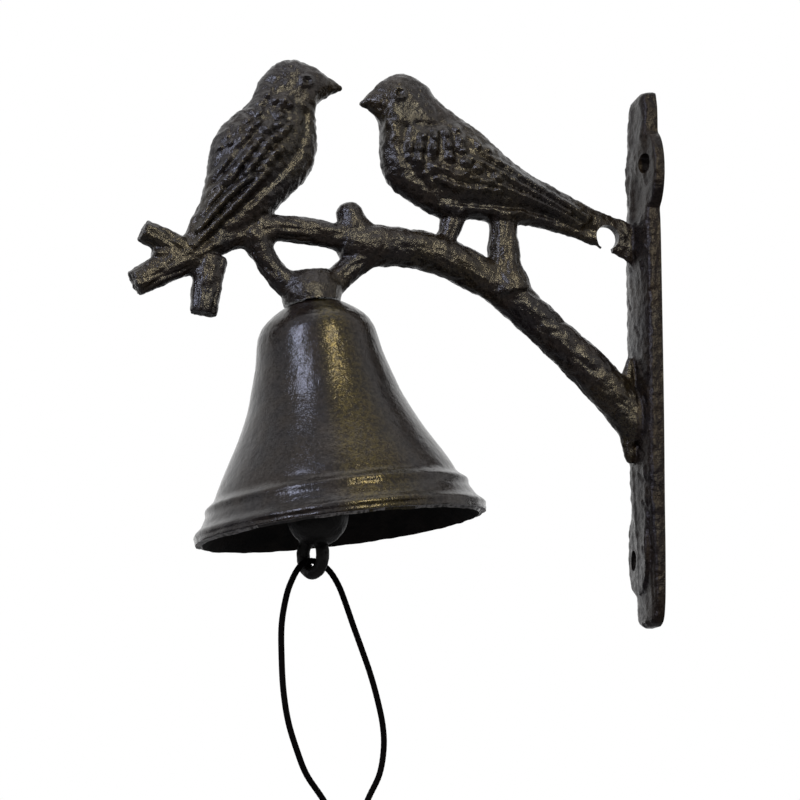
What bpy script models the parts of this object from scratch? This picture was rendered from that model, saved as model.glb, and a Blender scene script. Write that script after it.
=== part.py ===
"""Cast-iron wall doorbell: a trunk-like plate, a bough with two birds, a bell and its pull cord."""

import math

import bmesh
import bpy
from mathutils import Matrix, Vector

# Lengths are in metres. The wall face of the plate is the plane x = 0 and the wall lies at +X.
# The arm runs towards -X in the plane y = 0, and z = 0 is the mid height of the plate.

# Clearance between touching pieces, and the overrun of every cut
CLEARANCE = 0.0003
OVERRUN = 0.0030

# Wall plate
PLATE_HEIGHT = 0.181
PLATE_WIDTH = 0.0212
PLATE_CREST = 0.0070
PLATE_EDGE = 0.0036
EAR_HEIGHT = 0.0288
EAR_WIDTH = 0.0224
EAR_THICKNESS = 0.0034
EAR_RISE = 0.0024
EAR_LEVEL = 0.0638
EAR_OFFSET = 0.0040
SCREW_SPACING = 0.1328
SCREW_OFFSET = 0.0080
SCREW_HOLE = 0.0068

# Bough and its limbs
ARM_REACH = 0.1176
ARM_ROOT_DROP = 0.020
ARM_RISE = 0.0535
BOUGH_WIDTH = 0.0124
BOUGH_DEPTH = 0.0115
LIMB_WIDTH = 0.0088
LIMB_DEPTH = 0.0088
LEG_WIDTH = 0.0092
TWIG_WIDTH = 0.0093
TWIG_DEPTH = 0.0080
UPPER_TWIG_LENGTH = 0.0177
LOWER_TWIG_LENGTH = 0.0216
HANGING_TWIG_LENGTH = 0.0193
FORK_WEB_LENGTH = 0.0128
FORK_WEB_WIDTH = 0.0036
KNOB_HEIGHT = 0.0135

# Birds
LEFT_BIRD_LENGTH = 0.0777
RIGHT_BIRD_LENGTH = 0.1018
BIRD_DEPTH = 0.0172
WING_GROOVE = 0.0009
FEATHER_PITCH = 0.0033
FEATHER_DEPTH = 0.0010
EYE_SIZE = 0.0018
EYE_RIM = 0.0005
COVERT_LENGTH = 0.0047
QUILL_LENGTH = 0.0150
TAIL_NOTCH = 0.0081
TAIL_NOTCH_SLIT = 0.0040

# Boss and bell
BOSS_WIDTH = 0.0186
BOSS_HEIGHT = 0.0108
BOSS_DROP = 0.0212
BELL_HEIGHT = 0.0739
BELL_MOUTH = 0.0954
BELL_CROWN = 0.0165
BELL_WALL = 0.0030
BELL_TILT = math.radians(7.6)
BEAD_HEIGHT = 0.0007
BEAD_WIDTH = 0.0034

# Eye bolt, washer and nut
BOLT_DIAMETER = 0.0046
BOLT_DEPTH = 0.0075
BOLT_NECK = 0.0012
EYE_RADIUS = 0.0040
EYE_WIRE = 0.0026
WASHER_DIAMETER = 0.0110
WASHER_THICKNESS = 0.0010
NUT_ACROSS_FLATS = 0.0080
NUT_HEIGHT = 0.0040

EYE_DROP = 3 * CLEARANCE + BELL_WALL + WASHER_THICKNESS + NUT_HEIGHT + BOLT_NECK + EYE_RADIUS + EYE_WIRE / 2

# Link and clapper
LINK_LENGTH = 0.0090
LINK_WIDTH = 0.0080
LINK_WIRE = 0.0024
CLAPPER_EYE_RADIUS = 0.0036
CLAPPER_EYE_WIRE = 0.0026
CLAPPER_SHANK = 0.0052
CLAPPER_BALL = 0.0200
CLAPPER_DROP = 0.0468
PULL_EYE_WIDTH = 0.0080
PULL_EYE_HEIGHT = 0.0115
PULL_EYE_WIRE = 0.0043
PULL_EYE_DROP = 0.0151
PULL_EYE_TURN = math.radians(55.0)
PULL_EYE_SHIFT = 0.0014
PULL_EYE_RISE = 0.0022

# Pull cord, whose loop hangs in a standing plane turned from -Y towards -X
CORD_TURN = math.radians(65.0)
CORD_DIAMETER = 0.0020
CORD_POINT_SPACING = 0.0045
KNOT_DIAMETER = 0.0062
KNOT_HEIGHT = 0.0052
KNOT_DROP = 0.0914
KNOT_OUT = 0.0144
TAIL_LENGTH = 0.0120
TAIL_SPREAD = 0.0034

# Casting surface: grid of the casting skin and the number of triangles kept on it
CASTING_GRID = 0.0008
CASTING_TRIANGLES = 6000
CASTING_SMOOTHING = 7

RING_POINTS = 16
STEPS_BETWEEN_STATIONS = 4
BELL_SEGMENTS = 40
SMALL_SEGMENTS = 20
BELL_STEPS = 1
BALL_STEPS = 10
KNOT_STEPS = 6
CORD_STEPS = 6
SHARP_ANGLE = math.radians(40.0)
WIRE_SEGMENTS = 8

# Trunk of the wall plate, bottom to top: height, sideways shift, width and crest, all as shares
TRUNK_SHARES = (
    (-0.990, -0.08, 0.36, 0.34),
    (-0.972, -0.05, 0.66, 0.60),
    (-0.930, -0.02, 0.82, 0.58),
    (-0.860, -0.05, 0.86, 0.60),
    (-0.700, -0.12, 0.84, 0.70),
    (-0.540, -0.04, 0.93, 0.84),
    (-0.200, -0.03, 1.00, 0.90),
    (0.250, -0.03, 1.00, 0.87),
    (0.500, -0.04, 0.97, 0.89),
    (0.600, 0.00, 0.92, 0.80),
    (0.760, -0.04, 0.86, 0.80),
    (0.850, -0.10, 0.80, 0.88),
    (0.940, -0.14, 0.76, 0.84),
    (0.985, -0.19, 0.64, 0.82),
    (1.005, -0.30, 0.48, 0.70),
    (1.015, -0.36, 0.30, 0.40),
)

# Limbs: distance out as a share of ARM_REACH, rise above the root as a share of ARM_RISE, and width share
BOUGH_SHARES = (
    (0.023, -0.065, 1.30),
    (0.075, 0.045, 1.14),
    (0.166, 0.259, 1.14),
    (0.278, 0.468, 1.06),
    (0.389, 0.672, 1.05),
    (0.459, 0.785, 1.01),
    (0.532, 0.868, 1.05),
    (0.640, 0.965, 1.08),
    (0.750, 0.993, 1.06),
    (0.840, 0.990, 1.15),
    (0.920, 1.00, 0.86),
)
UPPER_LIMB_SHARES = (
    (0.860, 1.00, 1.20),
    (0.935, 1.030, 1.02),
    (1.020, 1.052, 1.00),
    (1.095, 1.058, 1.01),
    (1.160, 1.05, 1.05),
)
UNDER_LEFT_BIRD_SHARES = (
    (1.120, 1.04, 1.05),
    (1.175, 1.00, 0.98),
    (1.230, 0.970, 0.86),
    (1.290, 0.91, 0.92),
    (1.345, 0.85, 1.00),
)
RIGHT_STRUT_SHARES = (
    (0.800, 1.00, 1.16),
    (0.847, 0.920, 1.08),
    (0.898, 0.83, 0.98),
    (0.948, 0.725, 1.05),
    (0.995, 0.65, 1.26),
)
LEFT_STRUT_SHARES = (
    (1.183, 1.02, 1.10),
    (1.154, 0.94, 1.03),
    (1.127, 0.836, 0.89),
    (1.083, 0.725, 0.96),
    (1.020, 0.64, 1.24),
)
REAR_LEG_SHARES = (
    (0.447, 1.24, 1.10),
    (0.441, 1.14, 1.03),
    (0.443, 1.03, 1.18),
    (0.440, 0.92, 1.28),
    (0.433, 0.81, 1.64),
    (0.426, 0.74, 1.72),
)
FRONT_LEG_SHARES = (
    (0.585, 1.27, 0.98),
    (0.597, 1.16, 0.84),
    (0.611, 1.08, 0.70),
    (0.627, 0.98, 0.80),
)

ROOT_WEB_SHARES = (
    (0.064, -0.28, 0.25),
    (0.069, -0.21, 0.52),
    (0.074, -0.05, 0.68),
    (0.074, 0.15, 0.68),
    (0.070, 0.28, 0.50),
    (0.062, 0.39, 0.24),
)

# Where the three twigs fork, their directions, the widths of root and tip, and the web between two
TWIG_FORK_SHARE = (1.345, 0.85)
UPPER_TWIG_ANGLE = math.radians(156.0)
LOWER_TWIG_ANGLE = math.radians(210.0)
HANGING_TWIG_ANGLE = math.radians(263.3)
HANGING_TWIG_SHIFT_SHARE = 0.054
TWIG_ROOT_SHARE = 1.14
TWIG_TIP_SHARE = 0.94
UPPER_TWIG_SHARE = 0.87
LOWER_TWIG_SHARE = 1.05
HANGING_TWIG_SHARE = 1.05
FORK_WEB_ANGLE = math.radians(182.6)

# Knob that stands on the bough beside the left bird, foot to tip: height, width and depth, as shares
KNOB_FOOT_SHARE = (0.875, 1.00)
KNOB_LEAN = math.radians(104.0)
KNOB_SHARES = (
    (0.00, 2.15, 1.05),
    (0.40, 1.58, 1.12),
    (0.58, 1.12, 1.04),
    (0.80, 1.04, 0.98),
    (0.97, 0.70, 0.68),
    (1.03, 0.30, 0.30),
)
# Boss over the bell, seat to top: height, width and depth, as shares
BOSS_SHARES = ((0.45, 1.14, 0.93), (0.80, 1.05, 0.70), (1.00, 0.72, 0.50))

# Each bird, tail to beak, in its own frame and in shares of its length: tail tip 0, 0 and beak tip 1, 0.
# A station is a point of the back, the matching point of the belly, and the depth as a share of BIRD_DEPTH.
LEFT_BIRD_SHARES = (
    (0.010, 0.042, 0.000, -0.045, 0.34),
    (0.083, 0.075, 0.085, -0.075, 0.44),
    (0.165, 0.096, 0.195, -0.125, 0.60),
    (0.246, 0.129, 0.320, -0.147, 0.80),
    (0.322, 0.175, 0.441, -0.153, 0.94),
    (0.411, 0.231, 0.560, -0.158, 1.00),
    (0.530, 0.254, 0.644, -0.147, 0.98),
    (0.665, 0.238, 0.712, -0.112, 0.88),
    (0.795, 0.271, 0.765, -0.070, 0.78),
    (0.921, 0.251, 0.820, -0.010, 0.80),
    (0.986, 0.137, 0.870, 0.023, 0.66),
    (0.997, 0.066, 0.941, 0.009, 0.36),
    (1.010, 0.010, 1.006, -0.018, 0.14),
)
LEFT_BIRD_TAIL_SHARE = (1.354, 0.869)
LEFT_BIRD_ANGLE = math.radians(49.7)
LEFT_WING_SHARES = (
    (0.800, 0.060), (0.720, -0.015), (0.620, -0.050), (0.480, -0.060), (0.325, -0.040), (0.155, -0.020),
    (0.030, -0.020),
)
LEFT_EYE_SHARE = (0.915, 0.120)

RIGHT_BIRD_SHARES = (
    (-0.060, 0.062, -0.060, -0.072, 0.24),
    (0.030, 0.056, 0.020, -0.068, 0.22),
    (0.120, 0.045, 0.140, -0.078, 0.26),
    (0.200, 0.044, 0.230, -0.093, 0.38),
    (0.290, 0.044, 0.320, -0.114, 0.58),
    (0.391, 0.045, 0.415, -0.151, 0.78),
    (0.491, 0.061, 0.511, -0.187, 0.94),
    (0.595, 0.096, 0.610, -0.231, 1.00),
    (0.691, 0.109, 0.715, -0.229, 0.98),
    (0.770, 0.127, 0.808, -0.211, 0.90),
    (0.835, 0.158, 0.867, -0.147, 0.80),
    (0.914, 0.154, 0.893, -0.080, 0.78),
    (0.961, 0.109, 0.918, -0.032, 0.62),
    (0.985, 0.050, 0.967, -0.013, 0.34),
    (1.005, 0.000, 1.004, -0.014, 0.14),
)
RIGHT_BIRD_TAIL_SHARE = (0.0675, 1.149)
RIGHT_BIRD_ANGLE = math.radians(156.8)
RIGHT_WING_SHARES = (
    (0.845, 0.000), (0.825, -0.090), (0.775, -0.145), (0.690, -0.175), (0.580, -0.165), (0.470, -0.125),
    (0.305, -0.070), (0.120, -0.035),
)
RIGHT_EYE_SHARE = (0.895, 0.095)

# Feather rows along the wing: the share of the wing's edge that short coverts take
COVERT_ROWS_SHARE = 0.46
NOTCH_SHARE = (0.069, -0.028)
SIDE_FACING_SHARE = 0.25
BOSS_OUT_SHARE = 1.001
LIP_SHARE = 0.985
INNER_CROWN_SHARE = 1.6
TAIL_START_SHARE = 0.4

# Outer profile of the bell, crown to lip: depth below the crown and radius, as shares of height and mouth
BELL_PROFILE_SHARES = (
    (0.016, 0.225),
    (0.045, 0.290),
    (0.080, 0.352),
    (0.112, 0.384),
    (0.150, 0.406),
    (0.250, 0.437),
    (0.350, 0.482),
    (0.455, 0.536),
    (0.590, 0.634),
    (0.725, 0.752),
    (0.795, 0.812),
    (0.840, 0.858),
    (0.900, 0.918),
    (0.965, 0.972),
    (0.992, 0.995),
)
BEAD_LEVEL_SHARES = (0.855, 0.962)

# Route of the cord, from the knot up the left strand, through the eye and down the right strand.
# Each point is the distance out along the loop, sideways from it, and up, from the centre of the pull eye.
CORD_ROUTE = (
    (-0.0133, 0.0000, -0.0882),
    (-0.0128, 0.0000, -0.0864),
    (-0.0096, 0.0002, -0.0829),
    (-0.0028, -0.0006, -0.0743),
    (0.0034, -0.0006, -0.0676),
    (0.0085, 0.0008, -0.0605),
    (0.0120, 0.0006, -0.0516),
    (0.0139, 0.0004, -0.0420),
    (0.0146, 0.0002, -0.0315),
    (0.0145, 0.0000, -0.0210),
    (0.0126, 0.0000, -0.0118),
    (0.0102, 0.0000, -0.0063),
    (0.0074, -0.0003, -0.0025),
    (0.0046, -0.0007, -0.0004),
    (0.0012, -0.0008, 0.0004),
    (-0.0026, -0.0008, -0.0004),
    (-0.0062, -0.0005, -0.0028),
    (-0.0093, -0.0002, -0.0068),
    (-0.0118, 0.0000, -0.0117),
    (-0.0150, 0.0003, -0.0190),
    (-0.0185, 0.0006, -0.0266),
    (-0.0220, 0.0008, -0.0343),
    (-0.0251, 0.0008, -0.0424),
    (-0.0276, 0.0006, -0.0506),
    (-0.0282, 0.0004, -0.0580),
    (-0.0266, 0.0002, -0.0662),
    (-0.0222, 0.0000, -0.0738),
    (-0.0182, 0.0000, -0.0812),
    (-0.0160, 0.0000, -0.0862),
    (-0.0156, 0.0000, -0.0882),
)


def clear_scene():
    for item in list(bpy.data.objects):
        bpy.data.objects.remove(item)


def material(name, colour, roughness, metallic):
    finish = bpy.data.materials.new(name)
    finish.use_nodes = True
    shader = finish.node_tree.nodes["Principled BSDF"]
    shader.inputs["Base Color"].default_value = (*colour, 1.0)
    shader.inputs["Roughness"].default_value = roughness
    shader.inputs["Metallic"].default_value = metallic
    return finish


def new_object(name, mesh, finish=None):
    item = bpy.data.objects.new(name, mesh)
    bpy.context.collection.objects.link(item)
    if finish is not None:
        mesh.materials.clear()
        mesh.materials.append(finish)
    return item


def mesh_object(name, shape, finish=None):
    """Turn a bmesh into an object and free the bmesh."""
    bmesh.ops.recalc_face_normals(shape, faces=shape.faces)
    mesh = bpy.data.meshes.new(name)
    shape.to_mesh(mesh)
    shape.free()
    return new_object(name, mesh, finish)


def round_edges(item, angle):
    item.data.shade_smooth()
    item.data.set_sharp_from_angle(angle=angle)


def add_boolean(item, other, operation):
    step = item.modifiers.new(other.name, "BOOLEAN")
    step.operation = operation
    step.object = other
    step.solver = "EXACT"
    other.hide_render = True
    other.display_type = "WIRE"


def evaluated_mesh(item):
    graph = bpy.context.evaluated_depsgraph_get()
    return bpy.data.meshes.new_from_object(item.evaluated_get(graph))


def fuse(item, others):
    """Join other solids to an item with a union, and delete them."""
    for other in others:
        add_boolean(item, other, "UNION")
    joined = evaluated_mesh(item)
    item.modifiers.clear()
    item.data = joined
    for other in others:
        bpy.data.objects.remove(other)


def between(before, start, end, after, share):
    """Catmull-Rom value between start and end."""
    slope_in = (end - before) / 2
    slope_out = (after - start) / 2
    square, cube = share * share, share * share * share
    return (
        (2 * cube - 3 * square + 1) * start
        + (cube - 2 * square + share) * slope_in
        + (3 * square - 2 * cube) * end
        + (cube - square) * slope_out
    )


def smooth_run(stations, steps):
    """Stations with smooth in-between ones, each a tuple of the same length."""
    run = []
    last = len(stations) - 1
    for index in range(last):
        four = [stations[min(max(index + k, 0), last)] for k in (-1, 0, 1, 2)]
        for step in range(steps):
            run.append(tuple(between(*values, step / steps) for values in zip(*four)))
    run.append(tuple(stations[-1]))
    return run


def add_skin(shape, rings):
    """Join rings of points into one closed skin with a face at each end."""
    rows = [[shape.verts.new(point) for point in ring] for ring in rings]
    count = len(rings[0])
    for row, following in zip(rows, rows[1:]):
        for index in range(count):
            beside = (index + 1) % count
            shape.faces.new((row[index], row[beside], following[beside], following[index]))
    shape.faces.new(rows[0])
    shape.faces.new(rows[-1])


def oval_ring(centre, across, depth):
    """An oval around a centre in the plane of the arm: across lies in that plane, depth along Y."""
    ring = []
    for index in range(RING_POINTS):
        angle = math.tau * index / RING_POINTS
        ring.append(centre + across * math.cos(angle) + Vector((0, depth * math.sin(angle), 0)))
    return ring


def arm_point(out_share, rise_share):
    return Vector((-ARM_REACH * out_share, 0, ARM_RISE * rise_share - ARM_ROOT_DROP))


def add_limb(shape, centres, widths, depths):
    """An oval limb along centres in the plane of the arm, with a full width and depth at each."""
    rings = []
    for index, centre in enumerate(centres):
        before = centres[max(index - 1, 0)]
        after = centres[min(index + 1, len(centres) - 1)]
        along = (after - before).normalized()
        across = Vector((-along.z, 0, along.x))
        rings.append(oval_ring(centre, across * widths[index] / 2, depths[index] / 2))
    add_skin(shape, rings)


def add_arm_limb(shape, table, width, depth):
    run = smooth_run(table, STEPS_BETWEEN_STATIONS)
    centres = [arm_point(out_share, rise_share) for out_share, rise_share, _ in run]
    widths = [width * share for _, _, share in run]
    depths = [depth * share for _, _, share in run]
    add_limb(shape, centres, widths, depths)


def add_twig(shape, root, angle, length, width):
    tip = root + Vector((math.cos(angle), 0, math.sin(angle))) * length
    widths = [width * TWIG_ROOT_SHARE, width * TWIG_TIP_SHARE]
    depths = [TWIG_DEPTH * TWIG_ROOT_SHARE, TWIG_DEPTH * TWIG_TIP_SHARE]
    add_limb(shape, [root, tip], widths, depths)


def add_knob(shape):
    foot = arm_point(*KNOB_FOOT_SHARE)
    along = Vector((math.cos(KNOB_LEAN), 0, math.sin(KNOB_LEAN)))
    centres = [foot + along * KNOB_HEIGHT * height for height, _, _ in KNOB_SHARES]
    widths = [LIMB_WIDTH * share for _, share, _ in KNOB_SHARES]
    depths = [LIMB_WIDTH * share for _, _, share in KNOB_SHARES]
    add_limb(shape, centres, widths, depths)


def add_trunk(shape):
    """The half-round strip that lies on the wall, its back a little past x = 0 to be cut flat."""
    rings = []
    for level, shift, wide, high in smooth_run(TRUNK_SHARES, STEPS_BETWEEN_STATIONS):
        centre_y = PLATE_WIDTH * shift / 2
        half = PLATE_WIDTH * wide / 2
        edge = PLATE_EDGE * high
        crest = PLATE_CREST * high - edge
        height = PLATE_HEIGHT * level / 2
        ring = [Vector((OVERRUN, centre_y - half, height)), Vector((OVERRUN, centre_y + half, height))]
        for index in range(RING_POINTS - 1):
            angle = math.pi * index / (RING_POINTS - 2)
            bulge = math.sin(angle) ** 0.8
            ring.append(Vector((-edge - crest * bulge, centre_y + half * math.cos(angle), height)))
        rings.append(ring)
    add_skin(shape, rings)


def add_ears(shape):
    """Two lobes for the wall screws, one on each side of the trunk, their faces rising towards it."""
    for side in (-1, 1):
        centre = Vector((0, side * EAR_OFFSET, -side * EAR_LEVEL))
        back, front = [], []
        for index in range(RING_POINTS * 2):
            angle = math.pi * index / RING_POINTS
            wide = math.copysign(abs(math.cos(angle)) ** 0.75, math.cos(angle))
            place = centre + Vector((OVERRUN, wide * EAR_WIDTH / 2, math.sin(angle) * EAR_HEIGHT / 2))
            back.append(place)
            rise = EAR_RISE * (1 - wide * side) / 2
            front.append(place - Vector((OVERRUN + EAR_THICKNESS + rise, 0, 0)))
        add_skin(shape, [back, front])


class Bird:
    """A bird in the plane of the arm, with its own frame from tail tip to beak."""

    def __init__(self, stations, tail_share, angle, length, side, wing, eye):
        self.stations = smooth_run(stations, STEPS_BETWEEN_STATIONS)
        self.tail = arm_point(*tail_share)
        self.length = length
        self.forward = Vector((math.cos(angle), 0, math.sin(angle)))
        self.upward = Vector((-self.forward.z, 0, self.forward.x)) * side
        self.wing = [Vector(place) * length for place in smooth_run(wing, STEPS_BETWEEN_STATIONS)]
        self.eye = Vector(eye) * length
        backs = [Vector(station[:2]) * length for station in self.stations]
        bellies = [Vector(station[2:4]) * length for station in self.stations]
        self.outline = backs + bellies[::-1]

    def point(self, along, upward):
        return self.tail + (self.forward * along + self.upward * upward) * self.length

    def add(self, shape):
        rings = []
        for back_along, back_up, belly_along, belly_up, depth in self.stations:
            back = self.point(back_along, back_up)
            belly = self.point(belly_along, belly_up)
            rings.append(oval_ring((back + belly) / 2, (back - belly) / 2, BIRD_DEPTH * depth / 2))
        add_skin(shape, rings)

    def local(self, point):
        place = point - self.tail
        return Vector((place.dot(self.forward), place.dot(self.upward)))

    def covers(self, here):
        """Whether a point of the bird's own frame is inside its outline."""
        inside = False
        before = self.outline[-1]
        for corner in self.outline:
            if (corner.y > here.y) != (before.y > here.y):
                crossing = (before.x - corner.x) * (here.y - corner.y) / (before.y - corner.y) + corner.x
                inside ^= here.x < crossing
            before = corner
        return inside

    def wing_place(self, here):
        """Distance along the wing's edge from the shoulder, and distance inside the wing."""
        best = (math.inf, 0, 1)
        travelled = 0
        for first, second in zip(self.wing, self.wing[1:]):
            span = second - first
            reach = min(max((here - first).dot(span) / span.length_squared, 0), 1)
            offset = here - first - span * reach
            side = math.copysign(1, offset.dot(Vector((span.y, -span.x))))
            if offset.length < best[0]:
                best = (offset.length, travelled + span.length * reach, side)
            travelled += span.length
        return best[1], best[0] * best[2], travelled

    def relief(self, here):
        """Height of the carving at a point of the bird's side."""
        along, inside, whole = self.wing_place(here)
        height = -WING_GROOVE * math.exp(-((inside / (FEATHER_PITCH / 3)) ** 2))
        if inside > 0 and along > 0:
            height += feather(along, inside, whole * COVERT_ROWS_SHARE)
        from_eye = (here - self.eye).length / EYE_SIZE
        return height + EYE_RIM * math.exp(-((from_eye - 1) ** 2) * 8)


def feather(along, inside, quills_start):
    """Height of overlapping feathers: short coverts near the shoulder, then long quills."""
    length = COVERT_LENGTH if along < quills_start else QUILL_LENGTH
    lane = inside / FEATHER_PITCH
    row = along / length + (math.floor(lane) % 2) / 2
    over = lane - math.floor(lane) - 0.5
    barrel = math.sqrt(max(0.0, 1 - (2 * over) ** 2))
    ramp = row - math.floor(row)
    lift = 0.45 + 0.55 * math.sin(math.pi * min(ramp * 0.9 + 0.1, 1.0))
    return FEATHER_DEPTH * barrel * lift


def carve_birds(mesh, birds):
    """Move the sides of the birds out and in along Y, to raise the feathers."""
    normals = [vertex.normal.copy() for vertex in mesh.vertices]
    for vertex, normal in zip(mesh.vertices, normals):
        facing = max(0.0, abs(normal.y) - SIDE_FACING_SHARE) / (1 - SIDE_FACING_SHARE)
        if facing == 0:
            continue
        for bird in birds:
            here = bird.local(vertex.co)
            if bird.covers(here):
                vertex.co.y += math.copysign(bird.relief(here) * facing, normal.y)
                break


def box(name, low, high, place=Matrix()):
    shape = bmesh.new()
    bmesh.ops.create_cube(shape, size=1)
    size = Vector(high) - Vector(low)
    middle = (Vector(high) + Vector(low)) / 2
    whole = place @ Matrix.Translation(middle) @ Matrix.Diagonal(size).to_4x4()
    bmesh.ops.transform(shape, matrix=whole, verts=shape.verts)
    return mesh_object(name, shape)


def rod(name, radius, low, high, place=Matrix(), segments=SMALL_SEGMENTS):
    """A round bar along the local Z axis of a place."""
    shape = bmesh.new()
    middle = Matrix.Translation((0, 0, (low + high) / 2))
    bmesh.ops.create_cone(
        shape, cap_ends=True, segments=segments, radius1=radius, radius2=radius, depth=high - low,
        matrix=place @ middle,
    )
    return mesh_object(name, shape)


def turned(name, profile, segments, finish=None):
    """Spin a profile of radii and heights about local Z; it ends on the axis or closes on itself."""
    shape = bmesh.new()
    verts = [shape.verts.new((radius, 0, height)) for radius, height in profile]
    edges = [shape.edges.new(pair) for pair in zip(verts, verts[1:])]
    if profile[0][0] > 0:
        edges.append(shape.edges.new((verts[-1], verts[0])))
    bmesh.ops.spin(
        shape, geom=verts + edges, cent=(0, 0, 0), axis=(0, 0, 1), angle=math.tau, steps=segments,
        use_merge=True,
    )
    bmesh.ops.remove_doubles(shape, verts=shape.verts, dist=CLEARANCE / 100)
    item = mesh_object(name, shape, finish)
    round_edges(item, SHARP_ANGLE)
    return item


def wire_ring(name, half_width, half_length, wire, finish=None):
    """A closed ring of round wire, standing in the local XZ plane with its hole along Y."""
    shape = bmesh.new()
    rows = []
    for step in range(SMALL_SEGMENTS):
        angle = math.tau * step / SMALL_SEGMENTS
        centre = Vector((half_width * math.cos(angle), 0, half_length * math.sin(angle)))
        outward = Vector((half_length * math.cos(angle), 0, half_width * math.sin(angle))).normalized()
        row = []
        for index in range(WIRE_SEGMENTS):
            turn = math.tau * index / WIRE_SEGMENTS
            offset = outward * math.cos(turn) + Vector((0, math.sin(turn), 0))
            row.append(shape.verts.new(centre + offset * wire / 2))
        rows.append(row)
    for row, following in zip(rows, rows[1:] + rows[:1]):
        for index in range(WIRE_SEGMENTS):
            beside = (index + 1) % WIRE_SEGMENTS
            shape.faces.new((row[index], row[beside], following[beside], following[index]))
    item = mesh_object(name, shape, finish)
    item.data.shade_smooth()
    return item


def make_bracket(finish, bell_place):
    """Plate, bough, twigs and both birds, cast in one piece."""
    shape = bmesh.new()
    add_trunk(shape)
    add_ears(shape)
    add_arm_limb(shape, BOUGH_SHARES, BOUGH_WIDTH, BOUGH_DEPTH)
    for table in (
        UPPER_LIMB_SHARES, UNDER_LEFT_BIRD_SHARES, RIGHT_STRUT_SHARES, LEFT_STRUT_SHARES, ROOT_WEB_SHARES,
    ):
        add_arm_limb(shape, table, LIMB_WIDTH, LIMB_DEPTH)
    for table in (REAR_LEG_SHARES, FRONT_LEG_SHARES):
        add_arm_limb(shape, table, LEG_WIDTH, LEG_WIDTH)
    fork = arm_point(*TWIG_FORK_SHARE)
    add_twig(shape, fork, UPPER_TWIG_ANGLE, UPPER_TWIG_LENGTH, TWIG_WIDTH * UPPER_TWIG_SHARE)
    add_twig(shape, fork, LOWER_TWIG_ANGLE, LOWER_TWIG_LENGTH, TWIG_WIDTH * LOWER_TWIG_SHARE)
    hanging_root = arm_point(TWIG_FORK_SHARE[0] - HANGING_TWIG_SHIFT_SHARE, TWIG_FORK_SHARE[1])
    add_twig(shape, hanging_root, HANGING_TWIG_ANGLE, HANGING_TWIG_LENGTH, TWIG_WIDTH * HANGING_TWIG_SHARE)
    add_twig(shape, fork, FORK_WEB_ANGLE, FORK_WEB_LENGTH, FORK_WEB_WIDTH)
    add_knob(shape)
    add_boss(shape, bell_place)
    birds = make_birds()
    for bird in birds:
        bird.add(shape)
    rough = mesh_object("rough_casting", shape)
    skin = rough.modifiers.new("casting_skin", "REMESH")
    skin.mode = "VOXEL"
    skin.voxel_size = CASTING_GRID
    fillets = rough.modifiers.new("fillets", "SMOOTH")
    fillets.factor = 0.5
    fillets.iterations = CASTING_SMOOTHING
    mesh = evaluated_mesh(rough)
    bpy.data.objects.remove(rough)
    carve_birds(mesh, birds)
    bracket = new_object("bracket", mesh, finish)
    thinned = bracket.modifiers.new("thinned", "DECIMATE")
    thinned.use_collapse_triangulate = True
    thinned.ratio = CASTING_TRIANGLES / (2 * len(mesh.polygons))
    for cutter in bracket_cutters(bell_place, birds[1]):
        add_boolean(bracket, cutter, "DIFFERENCE")
    round_edges(bracket, SHARP_ANGLE)
    return bracket


def make_birds():
    left = Bird(
        LEFT_BIRD_SHARES, LEFT_BIRD_TAIL_SHARE, LEFT_BIRD_ANGLE, LEFT_BIRD_LENGTH, 1, LEFT_WING_SHARES,
        LEFT_EYE_SHARE,
    )
    right = Bird(
        RIGHT_BIRD_SHARES, RIGHT_BIRD_TAIL_SHARE, RIGHT_BIRD_ANGLE, RIGHT_BIRD_LENGTH, -1, RIGHT_WING_SHARES,
        RIGHT_EYE_SHARE,
    )
    return left, right


def add_boss(shape, bell_place):
    """Round boss on the bell's axis, a little longer than its seat, to be cut flat."""
    axis = bell_place.to_quaternion() @ Vector((0, 0, 1))
    foot = bell_place.translation
    levels = [-OVERRUN, 0.0] + [BOSS_HEIGHT * level for level, _, _ in BOSS_SHARES]
    widths = [BOSS_WIDTH, BOSS_WIDTH] + [BOSS_WIDTH * share for _, share, _ in BOSS_SHARES]
    depths = [BOSS_WIDTH, BOSS_WIDTH] + [BOSS_WIDTH * share for _, _, share in BOSS_SHARES]
    add_limb(shape, [foot + axis * level for level in levels], widths, depths)


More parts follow.
